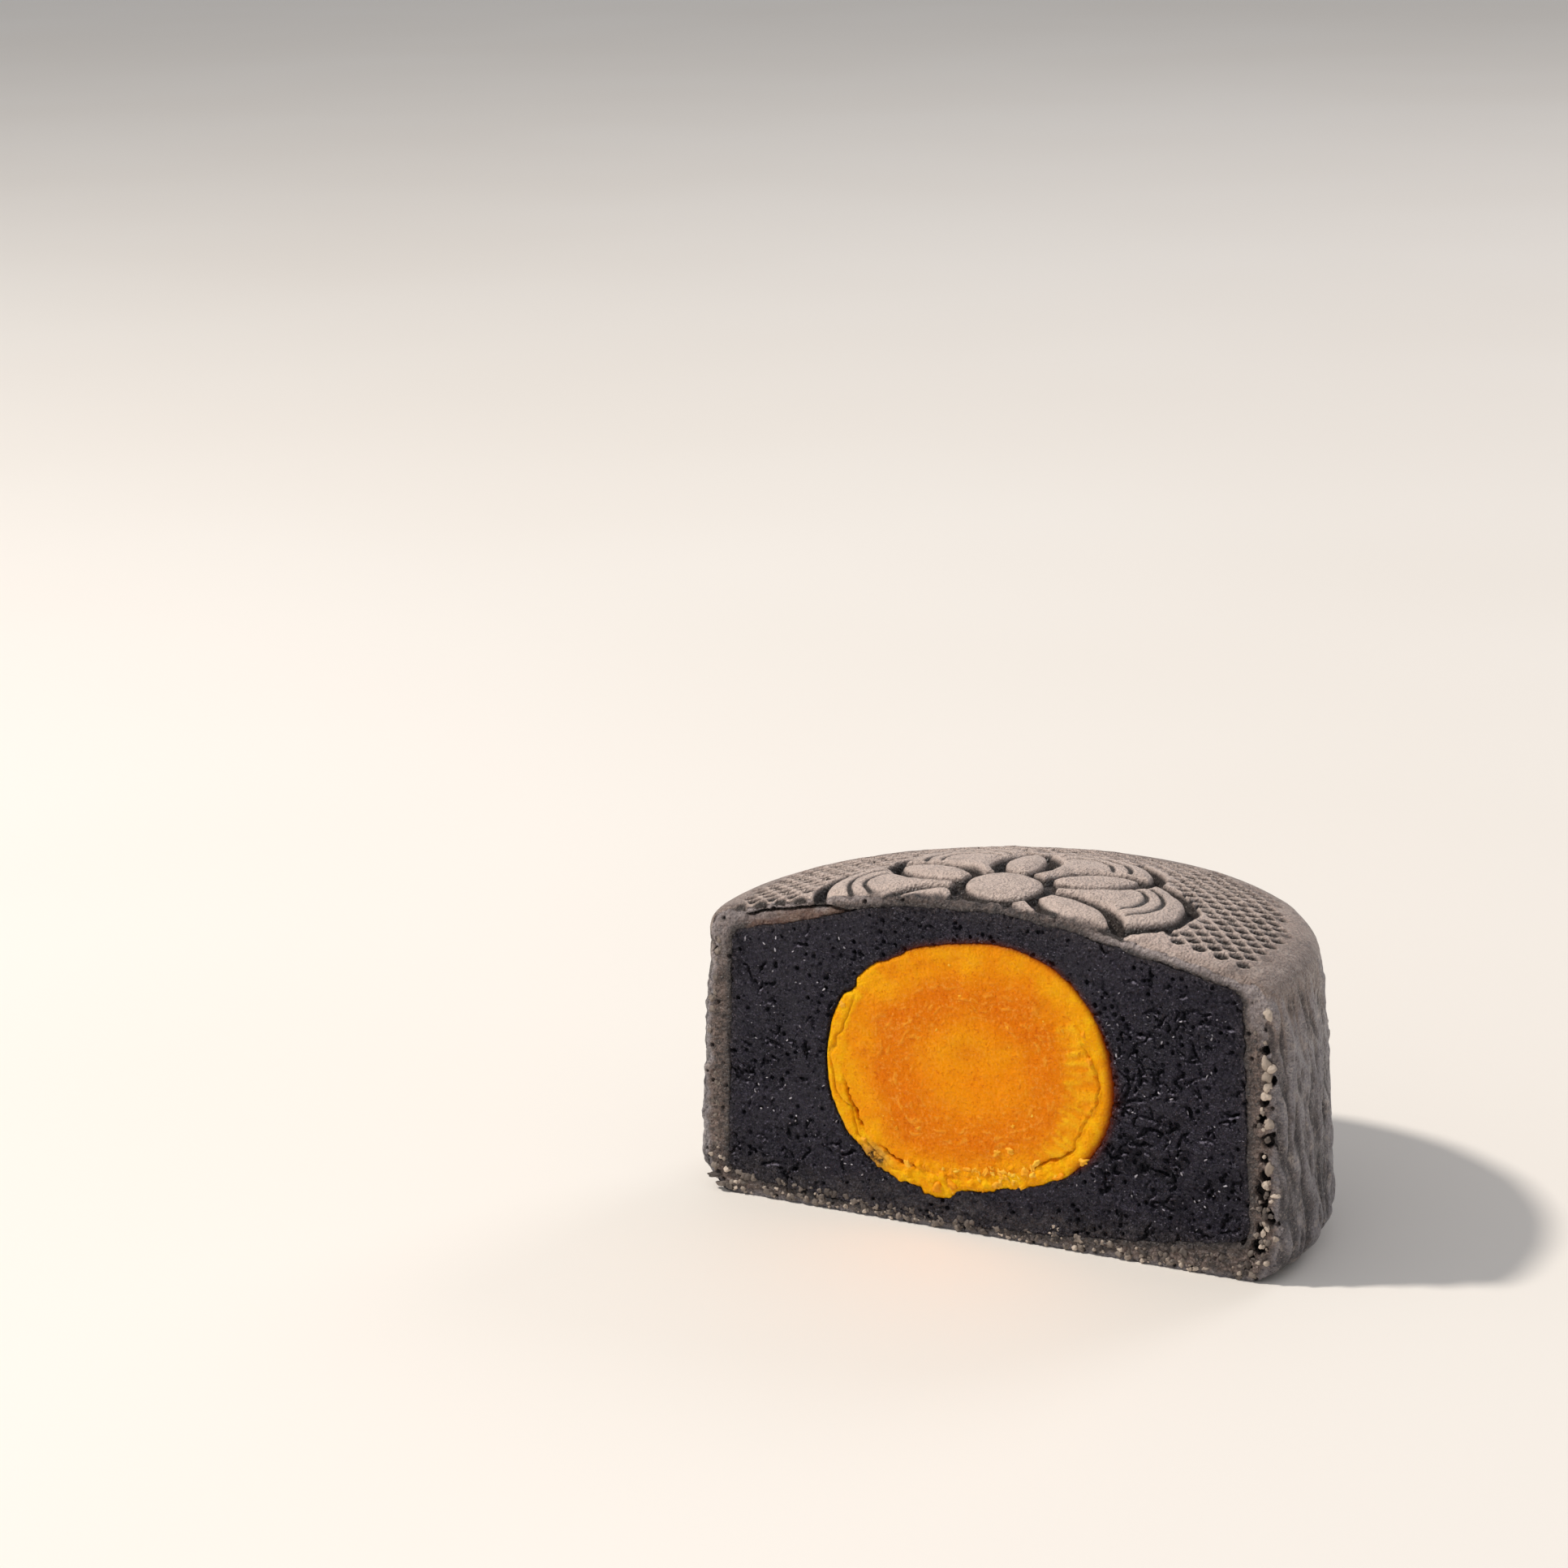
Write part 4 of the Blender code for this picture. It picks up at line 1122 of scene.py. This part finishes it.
def filling_material():
    n = Nodes("sesame_paste")
    cavity, halo, seam, base = n.value("cavity"), n.value("halo"), n.value("seam"), n.value("base")
    fine = n.noise(3.6, 4, 0.7)
    colour = n.coated(
        n.blend(n.noise(0.16, 3), 0.35, 0.68, (20, 17, 28), (33, 29, 41)),
        (fine, 0.5, 0.36, 0.85, (6, 5, 9)),
        (fine, 0.56, 0.68, 0.6, (96, 90, 108)),
        # painted glints: sparse pale specks over the paste
        (n.cells(1.7), 0.12, 0.05, 0.85, (164, 158, 176)))
    earth = n.blend(n.noise(1.1, 4), 0.4, 0.62, (44, 42, 44), (84, 78, 76))
    colour = n.mix(n.times(base, 0.75), colour, earth)
    # painted highlight on the lips under the tears
    lit = n.times(n.ramp(n.value("lip"), 0.15, 0.8), n.ramp(n.noise(1.8, 3), 0.44, 0.58))
    colour = n.mix(n.times(lit, 0.85), colour, linear(150, 144, 160))
    # painted shade in pits, tears, hollows and the gap beside the yolk
    colour = n.coated(colour, (cavity, 0.1, 0.9, 0.95, (3, 3, 5)))
    edge = n.blend(fine, 0.5, 0.66, (38, 34, 38), (96, 86, 82))
    colour = n.mix(n.times(seam, 0.9), colour, edge)
    colour = n.coated(colour, (halo, 0.1, 0.95, 0.95, (92, 30, 8)))
    rough = n.ramp(n.noise(3.0, 3), 0.35, 0.7, 0.18, 0.34)
    normal = n.bump(n.cells(3.4), 0.2, 1.0, n.bump(n.noise(0.9, 6, 0.75), 0.8))
    return n.finish(
        colour, rough, normal, Specular_IOR_Level=0.45, Specular_Tint=(0.82, 0.8, 1.0, 1.0))


def yolk_material():
    n = Nodes("salted_yolk")
    shell, ring, glow, rays = n.value("shell"), n.value("ring"), n.value("glow"), n.value("rays")
    fine = n.noise(2.6, 4, 0.65)
    colour = n.blend(n.noise(0.35, 4), 0.36, 0.66, (243, 146, 2), (253, 170, 8))
    colour = n.mix(n.times(ring, 0.8), colour, linear(229, 113, 0))
    colour = n.mix(n.times(glow, 0.9), colour, linear(250, 144, 2))
    pale = n.times(n.ramp(fine, 0.52, 0.68), n.math("ADD", n.times(ring, 0.5), 0.18))
    colour = n.mix(pale, colour, linear(246, 164, 62))
    colour = n.mix(n.times(n.value("flecks"), 0.5), colour, linear(250, 172, 50))
    colour = n.coated(
        colour,
        (rays, 0.25, 0.95, 0.65, (254, 196, 30)),
        (fine, 0.46, 0.3, 0.5, (202, 80, 0)))
    golden = n.blend(n.noise(0.8, 3), 0.38, 0.68, (246, 164, 2), (255, 192, 12))
    colour = n.mix(n.times(shell, 0.9), colour, golden)
    burnt = n.blend(n.noise(1.3, 4, 0.7), 0.36, 0.54, (58, 38, 20), (222, 162, 62))
    colour = n.coated(
        n.mix(n.value("burn"), colour, burnt),
        # painted shade in the yolk's cracks
        (n.value("cavity"), 0.1, 0.9, 0.6, (150, 64, 2)),
        (n.value("oil"), 0.1, 0.95, 0.95, (132, 32, 0)))
    rough = n.ramp(n.noise(2.2, 3), 0.35, 0.7, 0.26, 0.46)
    normal = n.bump(n.cells(3.8), 0.08, 0.8, n.bump(n.noise(1.9, 5, 0.65), 0.14))
    return n.finish(
        colour, rough, normal, Subsurface_Weight=0.2, Subsurface_Scale=0.0008,
        Subsurface_Radius=(1.0, 0.4, 0.08), Specular_IOR_Level=0.2, Specular_Tint=(1.0, 0.72, 0.3, 1.0))


def crumb_material(name, dark, light, rough_low, rough_high, gloss=0.35, shade=0.6):
    n = Nodes(name)
    colour = n.mix(n.value("tone"), linear(*dark), linear(*light))
    colour = n.coated(colour, (n.noise(2.0, 4), 0.45, 0.72, 0.5, [shade * part for part in dark]))
    rough = n.ramp(n.noise(2.5, 3), 0.35, 0.7, rough_low, rough_high)
    return n.finish(colour, rough, n.bump(n.noise(3.0, 4, 0.6), 0.06), Specular_IOR_Level=gloss)


def new_piece(mesh, material, slot, *nodes):
    mesh.materials.clear()
    mesh.materials.append(material)
    mesh.shade_smooth()
    piece = bpy.data.objects.new(mesh.name, mesh)
    bpy.context.scene.collection.objects.link(piece)
    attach(piece, "root")
    if nodes:
        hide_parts(*nodes)
    return piece


# Stage

CAMERA_TURN = math.radians(25.53)
CAMERA_RISE = math.radians(19.41)
CAMERA_DISTANCE = 394.7
CAMERA_TARGET_Z = 12.0
CAMERA_YAW = math.radians(3.15)
CAMERA_PITCH = math.radians(-4.40)
CAMERA_ROLL = math.radians(-1.17)
CAMERA_LENS = 94.7


def away_from(turn, rise):
    """Unit vector from the cake towards a viewer at this turn to the right and this rise."""
    return Vector((math.sin(turn) * math.cos(rise), -math.cos(turn) * math.cos(rise), math.sin(rise)))


def place_camera():
    camera = bpy.data.objects.new("camera", bpy.data.cameras.new("camera"))
    bpy.context.scene.collection.objects.link(camera)
    centre = Vector((0, AXIS_Y, CAMERA_TARGET_Z))
    place = (centre + away_from(CAMERA_TURN, CAMERA_RISE) * CAMERA_DISTANCE) * MM
    back = away_from(CAMERA_TURN + CAMERA_YAW, CAMERA_RISE + CAMERA_PITCH)
    right = Vector((0, 0, 1)).cross(back).normalized()
    up = back.cross(right)
    turned = Matrix((right, up, back)).transposed().to_4x4() @ Matrix.Rotation(CAMERA_ROLL, 4, "Z")
    camera.matrix_world = Matrix.Translation(place) @ turned
    camera.data.lens = CAMERA_LENS
    camera.data.sensor_width = 36.0
    camera.data.clip_start = 0.01
    bpy.context.scene.camera = camera


def place_floor():
    bm = bmesh.new()
    bmesh.ops.create_grid(bm, x_segments=1, y_segments=1, size=3.0)
    mesh = bpy.data.meshes.new("floor")
    bm.to_mesh(mesh)
    bm.free()
    n = Nodes("floor")
    tint = n.blend(n.noise(0.004, 2), 0.3, 0.7, (241, 235, 227), (244, 239, 232))
    n.finish(tint, 0.65, n.bump(n.noise(0.8, 3), 0.02, 0.2))
    mesh.materials.append(n.material)
    floor = bpy.data.objects.new("floor", mesh)
    bpy.context.scene.collection.objects.link(floor)


def place_lamp(name, turn, rise, distance, size, watts, colour):
    data = bpy.data.lights.new(name, "AREA")
    data.shape = "DISK"
    data.size = size
    data.energy = watts
    data.color = colour
    lamp = bpy.data.objects.new(name, data)
    lamp.location = away_from(math.radians(turn), math.radians(rise)) * distance
    lamp.rotation_mode = "QUATERNION"
    lamp.rotation_quaternion = lamp.location.to_track_quat("Z", "Y")
    bpy.context.scene.collection.objects.link(lamp)


def place_lights():
    world = bpy.data.worlds.new("world")
    bpy.context.scene.world = world
    world.use_nodes = True
    sky = world.node_tree.nodes["Background"]
    sky.inputs["Color"].default_value = (0.96, 0.97, 1.0, 1)
    sky.inputs["Strength"].default_value = 0.4
    place_lamp("key", -62, 53, 1.1, 0.1, 9.5, (1.0, 0.94, 0.87))
    place_lamp("front", 0, 30, 1.2, 0.7, 0.5, (0.96, 0.98, 1.0))
    place_lamp("back", 160, 32, 1.2, 0.5, 2.4, (0.98, 0.96, 1.0))


def main():
    place_camera()
    place_floor()
    place_lights()
    seam, yolk = seam_loop(), yolk_loop()
    new_piece(make_crust(seam), crust_material(), "crust", "crust")
    new_piece(make_filling(seam, yolk), filling_material(), "filling", "sesame_filling")
    new_piece(make_yolk(yolk), yolk_material(), "yolk", "egg_yolk")
    flakes = crumb_material("yolk_flakes", (248, 156, 6), (255, 206, 72), 0.35, 0.55, 0.15, 0.85)
    grains = crumb_material("pale_grains", (150, 136, 124), (210, 194, 178), 0.4, 0.6)
    crumbs = crumb_material("crust_crumbs", (78, 70, 66), (142, 130, 120), 0.5, 0.75)
    glints = crumb_material("sesame_bits", (130, 126, 134), (216, 212, 220), 0.25, 0.45)
    new_piece(make_crumbs("yolk_flakes", flake_places(), 131, 0.65), flakes, "yolk")
    new_piece(make_crumbs("pale_grains", grain_places(), 141, 0.3), grains, "crust")
    new_piece(make_crumbs("crust_crumbs", dark_crumb_places(), 151, 0.4), crumbs, "crust")
    new_piece(make_crumbs("sesame_bits", glint_places(), 161, 0.3, 0.2), glints, "filling")
    scene = bpy.context.scene
    scene.view_settings.view_transform = "Standard"


main()
